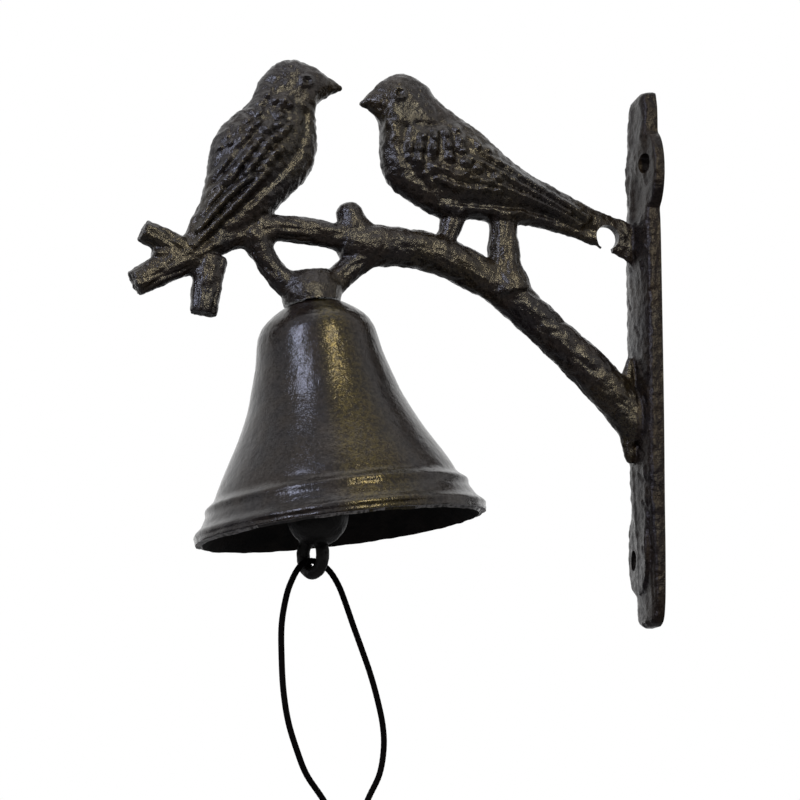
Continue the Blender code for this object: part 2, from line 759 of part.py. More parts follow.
def bracket_cutters(bell_place, right_bird):
    """What is cut out of the casting: wall face, bell seat, bolt hole, screw holes and the tail's notch."""
    cutters = [
        box(
            "wall_face_cut",
            (0, -PLATE_WIDTH, -PLATE_HEIGHT),
            (2 * OVERRUN, PLATE_WIDTH, PLATE_HEIGHT),
        ),
        box(
            "bell_seat_cut",
            (-BOSS_WIDTH, -BOSS_WIDTH, -2 * OVERRUN),
            (BOSS_WIDTH, BOSS_WIDTH, 0),
            bell_place,
        ),
        rod("bolt_hole_cut", BOLT_DIAMETER / 2 + CLEARANCE, -OVERRUN, BOLT_DEPTH + CLEARANCE, bell_place),
    ]
    along_x = Matrix.Rotation(math.pi / 2, 4, "Y")
    for side, name in ((-1, "top"), (1, "bottom")):
        hole = Matrix.Translation((0, side * SCREW_OFFSET, -side * SCREW_SPACING / 2)) @ along_x
        cutters.append(
            rod(name + "_screw_cut", SCREW_HOLE / 2, -PLATE_CREST - OVERRUN, OVERRUN, hole)
        )
    notch = right_bird.point(*NOTCH_SHARE)
    along_y = Matrix.Translation(notch) @ Matrix.Rotation(math.pi / 2, 4, "X")
    cutters.append(rod("notch_cut", TAIL_NOTCH / 2, -BIRD_DEPTH, BIRD_DEPTH, along_y))
    slit = TAIL_NOTCH_SLIT / 2
    cutters.append(
        box(
            "notch_slit_cut",
            (notch.x - slit, -BIRD_DEPTH, notch.z - 2 * TAIL_NOTCH),
            (notch.x + slit, BIRD_DEPTH, notch.z),
        )
    )
    return cutters


def bell_profile():
    """Outer and inner profiles of the bell, from the bolt hole over the lip and back."""
    run = smooth_run(BELL_PROFILE_SHARES, BELL_STEPS)
    plain = [(BELL_MOUTH / 2 * radius, -BELL_HEIGHT * depth) for depth, radius in run]
    outer = []
    for (radius, height), (depth, _) in zip(plain, run):
        for level in BEAD_LEVEL_SHARES:
            away = BELL_HEIGHT * (depth - level) / (BEAD_WIDTH / 2)
            radius += BEAD_HEIGHT * max(0.0, 1 - away * away)
        outer.append((radius, height))
    inner = []
    for before, here, after in zip(plain, plain[1:], plain[2:]):
        slope = Vector((after[0] - before[0], after[1] - before[1])).normalized()
        inner.append((here[0] + slope.y * BELL_WALL, here[1] - slope.x * BELL_WALL))
    inner = [place for place in inner if place[1] < -BELL_WALL * INNER_CROWN_SHARE]
    hole = BOLT_DIAMETER / 2 + CLEARANCE
    crown = [(hole, 0), (BELL_CROWN / 2, 0)]
    rim = BELL_MOUTH / 2 * LIP_SHARE
    lip = [(rim, -BELL_HEIGHT), (rim - BELL_WALL / 2, -BELL_HEIGHT)]
    roof = [(BELL_CROWN / 2, -BELL_WALL), (hole, -BELL_WALL)]
    return crown + outer + lip + inner[::-1] + roof


def make_bell(finish):
    return turned("bell", bell_profile(), BELL_SEGMENTS, finish)


def make_washer(finish):
    hole = BOLT_DIAMETER / 2 + CLEARANCE
    rim = WASHER_DIAMETER / 2
    profile = [(hole, 0), (rim, 0), (rim, -WASHER_THICKNESS), (hole, -WASHER_THICKNESS)]
    return turned("crown_washer", profile, SMALL_SEGMENTS, finish)


def make_nut(finish):
    """A hexagon nut, its corners along the outside and its bore round."""
    shape = bmesh.new()
    outer = NUT_ACROSS_FLATS / 2 / math.cos(math.pi / 6)
    bore = BOLT_DIAMETER / 2 + CLEARANCE
    rings = []
    corners = ((outer, 0, 6), (outer, -NUT_HEIGHT, 6), (bore, -NUT_HEIGHT, 0), (bore, 0, 0))
    for radius, height, sides in corners:
        ring = []
        for index in range(SMALL_SEGMENTS):
            angle = math.tau * index / SMALL_SEGMENTS
            reach = radius
            if sides:
                flat = math.pi / sides
                reach = radius * math.cos(flat) / math.cos((angle % (2 * flat)) - flat)
            ring.append(shape.verts.new((reach * math.cos(angle), reach * math.sin(angle), height)))
        rings.append(ring)
    for ring, following in zip(rings, rings[1:] + rings[:1]):
        for index in range(SMALL_SEGMENTS):
            beside = (index + 1) % SMALL_SEGMENTS
            shape.faces.new((ring[index], ring[beside], following[beside], following[index]))
    return mesh_object("crown_nut", shape, finish)


def make_eye_bolt(finish):
    """Shank up into the boss, and a closed eye below the nut."""
    radius = BOLT_DIAMETER / 2
    eye = wire_ring("bolt_eye", EYE_RADIUS, EYE_RADIUS, EYE_WIRE)
    eye.location.z = -EYE_DROP
    root = -EYE_DROP + EYE_RADIUS
    profile = [(0, BOLT_DEPTH), (radius * 0.8, BOLT_DEPTH), (radius, BOLT_DEPTH - radius * 0.3)]
    profile += [(radius, root + EYE_WIRE), (EYE_WIRE / 2 * 0.9, root), (0, root)]
    bolt = turned("eye_bolt", profile, SMALL_SEGMENTS, finish)
    bpy.context.view_layer.update()
    fuse(bolt, [eye])
    round_edges(bolt, SHARP_ANGLE)
    return bolt


def make_link(finish):
    """Oval link that stands across both eyes, its origin in its own top wire."""
    link = wire_ring("clapper_link", LINK_WIDTH / 2, LINK_LENGTH / 2, LINK_WIRE, finish)
    link.data.transform(Matrix.Rotation(math.pi / 2, 4, "Z") @ Matrix.Translation((0, 0, -LINK_LENGTH / 2)))
    return link


def make_clapper(finish):
    """Shank, ball and two eyes cast in one piece, its origin in the top wire of the upper eye."""
    top_eye = wire_ring("top_eye", CLAPPER_EYE_RADIUS, CLAPPER_EYE_RADIUS, CLAPPER_EYE_WIRE)
    top_eye.location.z = -CLAPPER_EYE_RADIUS
    pull_eye = wire_ring("pull_eye", PULL_EYE_WIDTH / 2, PULL_EYE_HEIGHT / 2, PULL_EYE_WIRE)
    pull_eye.rotation_euler.z = -PULL_EYE_TURN
    pull_eye.location = (-PULL_EYE_SHIFT, 0, -CLAPPER_DROP - PULL_EYE_DROP + PULL_EYE_RISE)
    shank = CLAPPER_SHANK / 2
    ball = CLAPPER_BALL / 2
    start = -2 * CLAPPER_EYE_RADIUS
    profile = [(0, start), (shank * 0.6, start), (shank * 0.8, start - shank)]
    first = math.asin(shank / ball)
    last = math.pi - math.asin(PULL_EYE_WIRE / 2 / ball)
    for step in range(BALL_STEPS + 1):
        angle = first + (last - first) * step / BALL_STEPS
        profile.append((ball * math.sin(angle), ball * math.cos(angle) - CLAPPER_DROP))
    profile.append((0, -ball - CLAPPER_DROP))
    clapper = turned("clapper", profile, SMALL_SEGMENTS, finish)
    bpy.context.view_layer.update()
    fuse(clapper, [top_eye, pull_eye])
    round_edges(clapper, SHARP_ANGLE)
    return clapper


def loop_place(out, side, up):
    """A point of the cord's loop, from the centre of the pull eye."""
    along = Vector((-math.sin(CORD_TURN), -math.cos(CORD_TURN), 0))
    across = Vector((math.cos(CORD_TURN), -math.sin(CORD_TURN), 0))
    return along * out + across * side + Vector((0, 0, up))


def even_points(points, spacing):
    """Points at even steps along a polyline, its two ends kept."""
    lengths = [0.0]
    for before, after in zip(points, points[1:]):
        lengths.append(lengths[-1] + (after - before).length)
    count = round(lengths[-1] / spacing)
    even = [points[0]]
    index = 0
    for step in range(1, count):
        target = lengths[-1] * step / count
        while lengths[index + 1] < target:
            index += 1
        share = (target - lengths[index]) / (lengths[index + 1] - lengths[index])
        even.append(points[index].lerp(points[index + 1], share))
    return even + [points[-1]]


def make_cord(finish):
    """A thin cord from the knot through the pull eye and back to the knot."""
    peak = CORD_ROUTE.index(max(CORD_ROUTE, key=lambda place: place[2])) * CORD_STEPS
    run = [loop_place(*place) for place in smooth_run(CORD_ROUTE, CORD_STEPS)]
    points = even_points(run[: peak + 1], CORD_POINT_SPACING)
    points += even_points(run[peak:], CORD_POINT_SPACING)[1:]
    curve = bpy.data.curves.new("pull_cord", "CURVE")
    curve.dimensions = "3D"
    spline = curve.splines.new("POLY")
    spline.points.add(len(points) - 1)
    for control, point in zip(spline.points, points):
        control.co = (*point, 1)
    curve.bevel_depth = CORD_DIAMETER / 2
    curve.bevel_resolution = 2
    curve.use_fill_caps = True
    curve.materials.append(finish)
    cord = bpy.data.objects.new("pull_cord", curve)
    bpy.context.collection.objects.link(cord)
    return cord


def make_knot(finish):
    """The knot that closes the loop, with the two short ends below it, its origin in the pull eye."""
    centre = loop_place(-KNOT_OUT, 0, -KNOT_DROP)
    half = KNOT_HEIGHT / 2
    profile = []
    for step in range(KNOT_STEPS + 1):
        angle = math.pi * step / KNOT_STEPS
        profile.append((KNOT_DIAMETER / 2 * math.sin(angle), half * math.cos(angle)))
    profile[0] = (0, half)
    profile[-1] = (0, -half)
    knot = turned("cord_knot", profile, SMALL_SEGMENTS // 2, finish)
    knot.data.transform(Matrix.Translation(centre))
    ends = []
    for side in (-1, 1):
        tip = loop_place(-KNOT_OUT + side * TAIL_SPREAD, 0, -KNOT_DROP - TAIL_LENGTH)
        along = tip - centre
        place = Matrix.Translation(centre) @ along.to_track_quat("Z", "Y").to_matrix().to_4x4()
        start = half * TAIL_START_SHARE
        ends.append(rod("cord_end", CORD_DIAMETER / 2, start, along.length, place, WIRE_SEGMENTS))
    bpy.context.view_layer.update()
    fuse(knot, ends)
    round_edges(knot, SHARP_ANGLE)
    return knot


def empty(name, parent, place):
    item = bpy.data.objects.new(name, None)
    bpy.context.collection.objects.link(item)
    item.parent = parent
    item.matrix_basis = place
    return item


def main():
    clear_scene()
    iron = material("cast_iron", (0.045, 0.036, 0.031), 0.42, 0.75)
    steel = material("dark_steel", (0.10, 0.095, 0.09), 0.40, 0.90)
    cotton = material("black_cord", (0.012, 0.012, 0.012), 0.80, 0.0)

    boss_seat = arm_point(BOSS_OUT_SHARE, 1) - Vector((0, 0, BOSS_DROP))
    bell_place = Matrix.Translation(boss_seat) @ Matrix.Rotation(-BELL_TILT, 4, "Y")
    make_bracket(iron, bell_place)

    bell_axis = empty("bell_axis", None, bell_place)
    drop = CLEARANCE
    for item, height in (
        (make_bell(iron), BELL_WALL),
        (make_washer(steel), WASHER_THICKNESS),
        (make_nut(steel), NUT_HEIGHT),
    ):
        item.parent = bell_axis
        item.location.z = -drop
        drop += height + CLEARANCE
    make_eye_bolt(steel).parent = bell_axis

    link_pin = bell_place @ Vector((0, 0, -EYE_DROP))
    link_pin.z += -EYE_RADIUS + EYE_WIRE / 2 + LINK_WIRE / 2 + CLEARANCE
    link = make_link(steel)
    link.location = link_pin
    clapper = make_clapper(iron)
    clapper.parent = link
    clapper.location.z = -LINK_LENGTH + LINK_WIRE / 2 + CLAPPER_EYE_WIRE / 2 + CLEARANCE
    pull_eye = empty("pull_eye_centre", clapper, Matrix.Translation((0, 0, -CLAPPER_DROP - PULL_EYE_DROP)))
    make_cord(cotton).parent = pull_eye
    make_knot(cotton).parent = pull_eye
    bpy.context.view_layer.update()


main()
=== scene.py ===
"""Looks of a cast-iron wall doorbell: plate, bough with two birds, bell, clapper and pull cord."""

import math

import bmesh
import bpy
import numpy as np
from mathutils import Matrix, Vector, noise


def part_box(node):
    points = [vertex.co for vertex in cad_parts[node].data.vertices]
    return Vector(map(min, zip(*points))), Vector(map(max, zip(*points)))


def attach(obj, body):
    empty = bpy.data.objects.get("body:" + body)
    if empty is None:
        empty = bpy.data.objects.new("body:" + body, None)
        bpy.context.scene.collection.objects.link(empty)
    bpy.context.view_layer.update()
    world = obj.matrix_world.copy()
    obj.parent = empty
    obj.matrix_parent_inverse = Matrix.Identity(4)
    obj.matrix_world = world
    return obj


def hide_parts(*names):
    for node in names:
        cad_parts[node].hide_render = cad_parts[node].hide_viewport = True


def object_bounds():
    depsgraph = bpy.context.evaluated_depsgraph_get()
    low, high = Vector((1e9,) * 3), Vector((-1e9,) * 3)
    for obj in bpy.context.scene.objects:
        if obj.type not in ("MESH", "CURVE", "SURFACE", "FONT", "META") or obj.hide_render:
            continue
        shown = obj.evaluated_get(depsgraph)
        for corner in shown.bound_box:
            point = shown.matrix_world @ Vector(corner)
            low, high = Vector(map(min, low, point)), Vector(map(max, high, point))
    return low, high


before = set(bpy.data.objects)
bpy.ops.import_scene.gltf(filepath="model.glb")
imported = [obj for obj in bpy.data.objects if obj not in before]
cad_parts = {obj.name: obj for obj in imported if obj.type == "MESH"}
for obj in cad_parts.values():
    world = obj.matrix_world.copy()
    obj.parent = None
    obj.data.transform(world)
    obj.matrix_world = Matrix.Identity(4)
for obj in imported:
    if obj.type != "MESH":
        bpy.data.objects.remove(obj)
solids_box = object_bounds()

# Lengths are in metres. The wall face of the plate is the plane x = 0 and the wall lies at +X.
# The arm runs towards -X in the plane y = 0, and z = 0 is the mid height of the plate.

# Clearance between touching pieces, and the overrun of every cut
CLEARANCE = 0.0003
OVERRUN = 0.0030

# Wall plate
PLATE_HEIGHT = 0.181
PLATE_WIDTH = 0.0212
PLATE_CREST = 0.0070
PLATE_EDGE = 0.0036
EAR_HEIGHT = 0.0288
EAR_WIDTH = 0.0224
EAR_THICKNESS = 0.0034
EAR_RISE = 0.0024
EAR_LEVEL = 0.0638
EAR_OFFSET = 0.0040
TRUNK_ROUNDNESS = 0.8
EAR_ROUNDNESS = 0.75
SCREW_SPACING = 0.1328
SCREW_OFFSET = 0.0080
SCREW_HOLE = 0.0068

# Bough and its limbs
ARM_REACH = 0.1176
ARM_ROOT_DROP = 0.020
ARM_RISE = 0.0535
BOUGH_WIDTH = 0.0124
BOUGH_DEPTH = 0.0115
LIMB_WIDTH = 0.0088
LIMB_DEPTH = 0.0088
LEG_WIDTH = 0.0092
TWIG_WIDTH = 0.0093
TWIG_DEPTH = 0.0080
UPPER_TWIG_LENGTH = 0.0177
LOWER_TWIG_LENGTH = 0.0216
HANGING_TWIG_LENGTH = 0.0193
FORK_WEB_LENGTH = 0.0128
FORK_WEB_WIDTH = 0.0036
KNOB_HEIGHT = 0.0135

# Birds
LEFT_BIRD_LENGTH = 0.0777
RIGHT_BIRD_LENGTH = 0.1018
BIRD_DEPTH = 0.0172
FEATHER_PITCH = 0.0033
EYE_SIZE = 0.0018
EYE_RIM = 0.0009
TAIL_NOTCH = 0.0081
TAIL_NOTCH_SLIT = 0.0040

# Boss and bell
BOSS_WIDTH = 0.0186
BOSS_HEIGHT = 0.0108
BOSS_DROP = 0.0212
BELL_HEIGHT = 0.0739
BELL_MOUTH = 0.0954
BELL_CROWN = 0.0165
BELL_WALL = 0.0030
BELL_TILT = math.radians(7.6)
BEAD_HEIGHT = 0.0007
BEAD_WIDTH = 0.0034

# Eye bolt, washer and nut
BOLT_DIAMETER = 0.0046
BOLT_DEPTH = 0.0075
BOLT_NECK = 0.0012
EYE_RADIUS = 0.0040
EYE_WIRE = 0.0026
WASHER_DIAMETER = 0.0110
WASHER_THICKNESS = 0.0010
NUT_ACROSS_FLATS = 0.0080
NUT_HEIGHT = 0.0040

# From the bell's seat down to the middle of the bolt's eye
EYE_DROP = (
    3 * CLEARANCE + BELL_WALL + WASHER_THICKNESS + NUT_HEIGHT + BOLT_NECK + EYE_RADIUS + EYE_WIRE / 2
)

# Link and clapper
LINK_LENGTH = 0.0090
LINK_WIDTH = 0.0080
LINK_WIRE = 0.0024
CLAPPER_EYE_RADIUS = 0.0036
CLAPPER_EYE_WIRE = 0.0026
CLAPPER_SHANK = 0.0052
CLAPPER_BALL = 0.0200
CLAPPER_DROP = 0.0468
PULL_EYE_WIDTH = 0.0080
PULL_EYE_HEIGHT = 0.0115
PULL_EYE_WIRE = 0.0043
PULL_EYE_DROP = 0.0151
PULL_EYE_TURN = math.radians(55.0)
PULL_EYE_SHIFT = 0.0014
PULL_EYE_RISE = 0.0022

# Pull cord, whose loop hangs in a standing plane turned from -Y towards -X
CORD_TURN = math.radians(65.0)
CORD_DIAMETER = 0.0020
KNOT_HEIGHT = 0.0052
KNOT_DROP = 0.0914
KNOT_OUT = 0.0144
TAIL_LENGTH = 0.0120
TAIL_SPREAD = 0.0034

# How finely rings, limbs and the cord are drawn, and the angle from which an edge is sharp
RING_POINTS = 28
STEPS_BETWEEN_STATIONS = 4
CORD_STEPS = 6
SHARP_ANGLE = math.radians(40.0)

# Trunk of the wall plate, bottom to top: height, sideways shift, width and crest, all as shares
TRUNK_SHARES = (
    (-0.990, -0.08, 0.36, 0.34), (-0.972, -0.05, 0.66, 0.60), (-0.930, -0.02, 0.82, 0.58),
    (-0.860, -0.05, 0.86, 0.60), (-0.700, -0.12, 0.84, 0.70), (-0.540, -0.04, 0.93, 0.84),
    (-0.200, -0.03, 1.00, 0.90), (0.250, -0.03, 1.00, 0.87), (0.500, -0.04, 0.97, 0.89),
    (0.600, 0.00, 0.92, 0.80), (0.760, -0.04, 0.86, 0.80), (0.850, -0.10, 0.80, 0.88),
    (0.940, -0.14, 0.76, 0.84), (0.985, -0.19, 0.64, 0.82), (1.005, -0.30, 0.48, 0.70),
    (1.015, -0.36, 0.30, 0.40),
)

# Limbs: distance out as a share of ARM_REACH, rise above the root as a share of ARM_RISE, and width
BOUGH_SHARES = (
    (0.023, -0.065, 1.30), (0.075, 0.045, 1.14), (0.166, 0.259, 1.14), (0.278, 0.468, 1.06),
    (0.389, 0.672, 1.05), (0.459, 0.785, 1.01), (0.532, 0.868, 1.05), (0.640, 0.965, 1.08),
    (0.750, 0.993, 1.06), (0.840, 0.990, 1.15), (0.920, 1.00, 0.86),
)
UPPER_LIMB_SHARES = (
    (0.860, 1.00, 1.20), (0.935, 1.030, 1.02), (1.020, 1.052, 1.00), (1.095, 1.058, 1.01),
    (1.160, 1.05, 1.05),
)
UNDER_LEFT_BIRD_SHARES = (
    (1.120, 1.04, 1.05), (1.175, 1.00, 0.98), (1.230, 0.970, 0.86), (1.290, 0.91, 0.92),
    (1.345, 0.85, 1.00),
)
RIGHT_STRUT_SHARES = (
    (0.800, 1.00, 1.16), (0.847, 0.920, 1.08), (0.898, 0.83, 0.98), (0.948, 0.725, 1.05),
    (0.995, 0.65, 1.26),
)
LEFT_STRUT_SHARES = (
    (1.183, 1.02, 1.10), (1.154, 0.94, 1.03), (1.127, 0.836, 0.89), (1.083, 0.725, 0.96),
    (1.020, 0.64, 1.24),
)
REAR_LEG_SHARES = (
    (0.447, 1.24, 1.10), (0.441, 1.14, 1.03), (0.443, 1.03, 1.18), (0.440, 0.92, 1.28),
    (0.433, 0.81, 1.64), (0.426, 0.74, 1.72),
)
FRONT_LEG_SHARES = (
    (0.585, 1.27, 0.98), (0.597, 1.16, 0.84), (0.611, 1.08, 0.70), (0.627, 0.98, 0.80),
)
# Thin web at the foot of the bough, along the plate
ROOT_WEB_SHARES = (
    (0.064, -0.28, 0.25), (0.069, -0.21, 0.52), (0.074, -0.05, 0.68), (0.074, 0.15, 0.68),
    (0.070, 0.28, 0.50), (0.062, 0.39, 0.24),
)
LIMB_TABLES = (UPPER_LIMB_SHARES, UNDER_LEFT_BIRD_SHARES, RIGHT_STRUT_SHARES, LEFT_STRUT_SHARES)
LEG_TABLES = (REAR_LEG_SHARES, FRONT_LEG_SHARES)

# Where the three twigs fork, their directions, the widths of root and tip, and the web between two
TWIG_FORK_SHARE = (1.345, 0.85)
UPPER_TWIG_ANGLE = math.radians(156.0)
LOWER_TWIG_ANGLE = math.radians(210.0)
HANGING_TWIG_ANGLE = math.radians(263.3)
HANGING_TWIG_SHIFT_SHARE = 0.054
TWIG_ROOT_SHARE = 1.14
TWIG_TIP_SHARE = 0.94
UPPER_TWIG_SHARE = 0.87
LOWER_TWIG_SHARE = 1.05
HANGING_TWIG_SHARE = 1.05
FORK_WEB_ANGLE = math.radians(182.6)

# Knob that stands on the bough beside the left bird, foot to tip: height, width and depth, as shares
KNOB_FOOT_SHARE = (0.875, 1.00)
KNOB_LEAN = math.radians(104.0)
KNOB_SHARES = (
    (0.00, 2.15, 1.05), (0.40, 1.58, 1.12), (0.58, 1.12, 1.04), (0.80, 1.04, 0.98),
    (0.97, 0.70, 0.68), (1.03, 0.30, 0.30),
)
# Boss over the bell: its place out along the arm, then seat to top: height, width and depth, as shares
BOSS_OUT_SHARE = 1.001
BOSS_SHARES = ((0.45, 1.14, 0.93), (0.80, 1.05, 0.70), (1.00, 0.72, 0.50))

# Each bird, tail to beak, in its own frame and in shares of its length: tail tip 0, 0, beak tip 1, 0.
# A station is a point of the back, the matching one of the belly, and a share of BIRD_DEPTH.
# The wing's edge runs from the shoulder to the tail.
LEFT_BIRD_SHARES = (
    (0.010, 0.042, 0.000, -0.045, 0.34), (0.083, 0.075, 0.085, -0.075, 0.44),
    (0.165, 0.096, 0.195, -0.125, 0.60), (0.246, 0.129, 0.320, -0.147, 0.80),
    (0.322, 0.175, 0.441, -0.153, 0.94), (0.411, 0.231, 0.560, -0.158, 1.00),
    (0.530, 0.254, 0.644, -0.147, 0.98), (0.665, 0.238, 0.712, -0.112, 0.88),
    (0.795, 0.271, 0.765, -0.070, 0.78), (0.921, 0.251, 0.820, -0.010, 0.80),
    (0.986, 0.137, 0.870, 0.023, 0.66), (0.997, 0.066, 0.941, 0.009, 0.36),
    (1.010, 0.010, 1.006, -0.018, 0.14),
)
LEFT_BIRD_TAIL_SHARE = (1.354, 0.869)
LEFT_BIRD_ANGLE = math.radians(49.7)
LEFT_WING_SHARES = (
    (0.800, 0.060), (0.720, -0.015), (0.620, -0.050), (0.480, -0.060), (0.325, -0.040),
    (0.155, -0.020), (0.030, -0.020),
)
LEFT_EYE_SHARE = (0.885, 0.121)

RIGHT_BIRD_SHARES = (
    (-0.060, 0.062, -0.060, -0.072, 0.24), (0.030, 0.056, 0.020, -0.068, 0.22),
    (0.120, 0.045, 0.140, -0.078, 0.26), (0.200, 0.044, 0.230, -0.093, 0.38),
    (0.290, 0.044, 0.320, -0.114, 0.58), (0.391, 0.045, 0.415, -0.151, 0.78),
    (0.491, 0.061, 0.511, -0.187, 0.94), (0.595, 0.096, 0.610, -0.231, 1.00),
    (0.691, 0.109, 0.715, -0.229, 0.98), (0.770, 0.127, 0.808, -0.211, 0.90),
    (0.835, 0.158, 0.867, -0.147, 0.80), (0.914, 0.154, 0.893, -0.080, 0.78),
    (0.961, 0.109, 0.918, -0.032, 0.62), (0.985, 0.050, 0.967, -0.013, 0.34),
    (1.005, 0.000, 1.004, -0.014, 0.14),
)
RIGHT_BIRD_TAIL_SHARE = (0.0675, 1.149)
RIGHT_BIRD_ANGLE = math.radians(156.8)
RIGHT_WING_SHARES = (
    (0.845, 0.000), (0.825, -0.090), (0.775, -0.145), (0.690, -0.175), (0.580, -0.165),
    (0.470, -0.125), (0.305, -0.070), (0.120, -0.035),
)
RIGHT_EYE_SHARE = (0.905, 0.063)

# Middle of the notch in the right bird's tail
NOTCH_SHARE = (0.069, -0.028)

# Outer profile of the bell, crown to lip: depth below the crown and radius, as shares
BELL_PROFILE_SHARES = (
    (0.016, 0.225), (0.045, 0.290), (0.080, 0.352), (0.112, 0.384), (0.150, 0.406), (0.250, 0.437),
    (0.350, 0.482), (0.455, 0.536), (0.590, 0.634), (0.725, 0.752), (0.795, 0.812), (0.840, 0.858),
    (0.900, 0.918), (0.965, 0.972), (0.992, 0.995),
)
# Levels of the two raised bands and of the lip, and where the inner profile starts, in walls
BEAD_LEVEL_SHARES = (0.855, 0.962)
LIP_SHARE = 0.985
INNER_CROWN_SHARE = 1.6

# Route of the cord, from the knot up the left strand, through the eye and down the right strand.
# Each point is the way out along the loop, sideways from it and up, from the middle of the pull eye.
CORD_ROUTE = (
    (-0.0133, 0.0000, -0.0882), (-0.0128, 0.0000, -0.0864), (-0.0096, 0.0002, -0.0829),
    (-0.0028, -0.0006, -0.0743), (0.0034, -0.0006, -0.0676), (0.0085, 0.0008, -0.0605),
    (0.0120, 0.0006, -0.0516), (0.0139, 0.0004, -0.0420), (0.0146, 0.0002, -0.0315),
    (0.0145, 0.0000, -0.0210), (0.0126, 0.0000, -0.0118), (0.0102, 0.0000, -0.0063),
    (0.0074, -0.0003, -0.0025), (0.0046, -0.0007, -0.0004), (0.0012, -0.0008, 0.0004),
    (-0.0026, -0.0008, -0.0004), (-0.0062, -0.0005, -0.0028), (-0.0093, -0.0002, -0.0068),
    (-0.0118, 0.0000, -0.0117), (-0.0150, 0.0003, -0.0190), (-0.0185, 0.0006, -0.0266),
    (-0.0220, 0.0008, -0.0343), (-0.0251, 0.0008, -0.0424), (-0.0276, 0.0006, -0.0506),
    (-0.0282, 0.0004, -0.0580), (-0.0266, 0.0002, -0.0662), (-0.0222, 0.0000, -0.0738),
    (-0.0182, 0.0000, -0.0812), (-0.0160, 0.0000, -0.0862), (-0.0156, 0.0000, -0.0882),
)

# Place of the photograph's camera: what it looks at, how far off, and its angles
CAMERA_AIM = (-0.088, 0.0, -0.018)
CAMERA_DISTANCE = 0.956
CAMERA_SIDE_ANGLE = math.radians(17.0)
CAMERA_RISE_ANGLE = math.radians(10.9)
CAMERA_LENS = 132.12
CAMERA_SENSOR = 36.0

# Bark nicks of the trunk: sideways and height of both ends, as shares of half the plate
NICK_SHARES = (
    (-0.44, -0.022, -0.61, -0.060), (-0.66, -0.144, -0.80, -0.183), (0.02, -0.294, -0.60, -0.364),
    (-0.24, -0.430, -0.66, -0.473), (-0.46, -0.532, -0.78, -0.586), (-0.20, 0.120, -0.46, 0.080),
    (0.50, 0.240, 0.22, 0.200), (0.60, -0.120, 0.30, -0.170), (0.46, -0.360, 0.20, -0.400),
    (-0.30, -0.700, -0.56, -0.745), (0.56, 0.020, 0.34, -0.020),
)
# Hollows (below 0) and pads of the plate's front: sideways, height, half width, half height, depth
DENT_SHARES = (
    (-0.20, 0.900, 0.42, 0.100, -0.0009), (-0.30, 0.600, 0.46, 0.095, -0.0012),
    (-0.62, 0.430, 0.10, 0.150, 0.0005), (-0.62, -0.600, 0.10, 0.260, 0.0004),
    (0.20, 0.470, 0.16, 0.200, 0.0004), (0.25, -0.560, 0.14, 0.280, 0.0004),
)

# Feathers of each bird as lines of its own frame: rise, width, then points, all but the rise as shares
LEFT_FEATHERS = (
    (1.00, 1.05, (0.460, -0.010), (0.352, -0.014), (0.230, -0.011), (0.104, -0.004), (0.025, 0.001)),
    (1.10, 1.20, (0.582, 0.009), (0.534, 0.011), (0.482, 0.008), (0.450, 0.009)),
    (1.00, 1.05, (0.660, 0.048), (0.615, 0.047), (0.573, 0.070), (0.520, 0.061), (0.452, 0.053),
     (0.391, 0.048)),
    (0.95, 1.00, (0.543, 0.099), (0.477, 0.099), (0.422, 0.093), (0.359, 0.091), (0.307, 0.093)),
    (0.90, 1.00, (0.390, 0.019), (0.323, 0.034), (0.248, 0.038), (0.157, 0.036), (0.085, 0.035)),
    (0.85, 0.95, (0.387, 0.143), (0.332, 0.138), (0.272, 0.138)),
    (0.80, 0.90, (0.270, 0.078), (0.208, 0.076), (0.146, 0.066)),
    (0.85, 0.90, (0.382, 0.088), (0.325, 0.076), (0.258, 0.106), (0.200, 0.110)),
)
LEFT_COVERTS = (
    (0.575, 0.193), (0.521, 0.194), (0.451, 0.181), (0.487, 0.157), (0.557, 0.161), (0.596, 0.152),
    (0.604, 0.107), (0.407, 0.203), (0.348, 0.182), (0.682, 0.105), (0.752, 0.104), (0.748, 0.134),
    (0.728, 0.164), (0.724, 0.203), (0.682, 0.209), (0.627, 0.210), (0.640, 0.183), (0.650, 0.083),
    (0.678, 0.050), (0.466, 0.226), (0.516, 0.150),
)
RIGHT_FEATHERS = (
    (1.00, 1.00, (0.781, -0.038), (0.772, -0.082), (0.756, -0.126)),
    (1.20, 1.00, (0.753, 0.000), (0.739, -0.042), (0.725, -0.083)),
    (1.15, 1.00, (0.719, 0.015), (0.693, -0.025), (0.671, -0.062)),
    (1.10, 1.10, (0.682, 0.042), (0.663, 0.014), (0.655, -0.009)),
    (0.90, 0.95, (0.614, 0.040), (0.591, 0.021), (0.577, 0.014)),
    (0.60, 0.80, (0.807, -0.082), (0.795, -0.117)),
    (0.65, 0.85, (0.681, -0.143), (0.622, -0.142), (0.564, -0.123), (0.509, -0.096)),
    (0.75, 0.90, (0.623, -0.037), (0.555, -0.026), (0.523, -0.026), (0.449, -0.025), (0.373, -0.027),
     (0.224, -0.025)),
    (0.70, 0.85, (0.554, 0.011), (0.494, 0.012), (0.416, 0.006), (0.325, 0.002), (0.233, -0.001),
     (0.154, -0.008)),
    (0.75, 0.90, (0.544, -0.082), (0.490, -0.069), (0.418, -0.062), (0.334, -0.050), (0.247, -0.043),
     (0.171, -0.040)),
    (0.60, 0.85, (0.675, -0.106), (0.637, -0.109), (0.596, -0.099), (0.561, -0.080)),
    (0.50, 0.80, (0.724, -0.147), (0.695, -0.162), (0.673, -0.180)),
    (0.55, 1.00, (0.619, -0.216), (0.526, -0.178), (0.430, -0.134), (0.372, -0.102)),
)
RIGHT_COVERTS = (
    (0.616, -0.052), (0.573, -0.052), (0.601, -0.088), (0.500, -0.048), (0.521, -0.101),
    (0.481, -0.086), (0.705, -0.118), (0.640, -0.020), (0.560, 0.030),
)
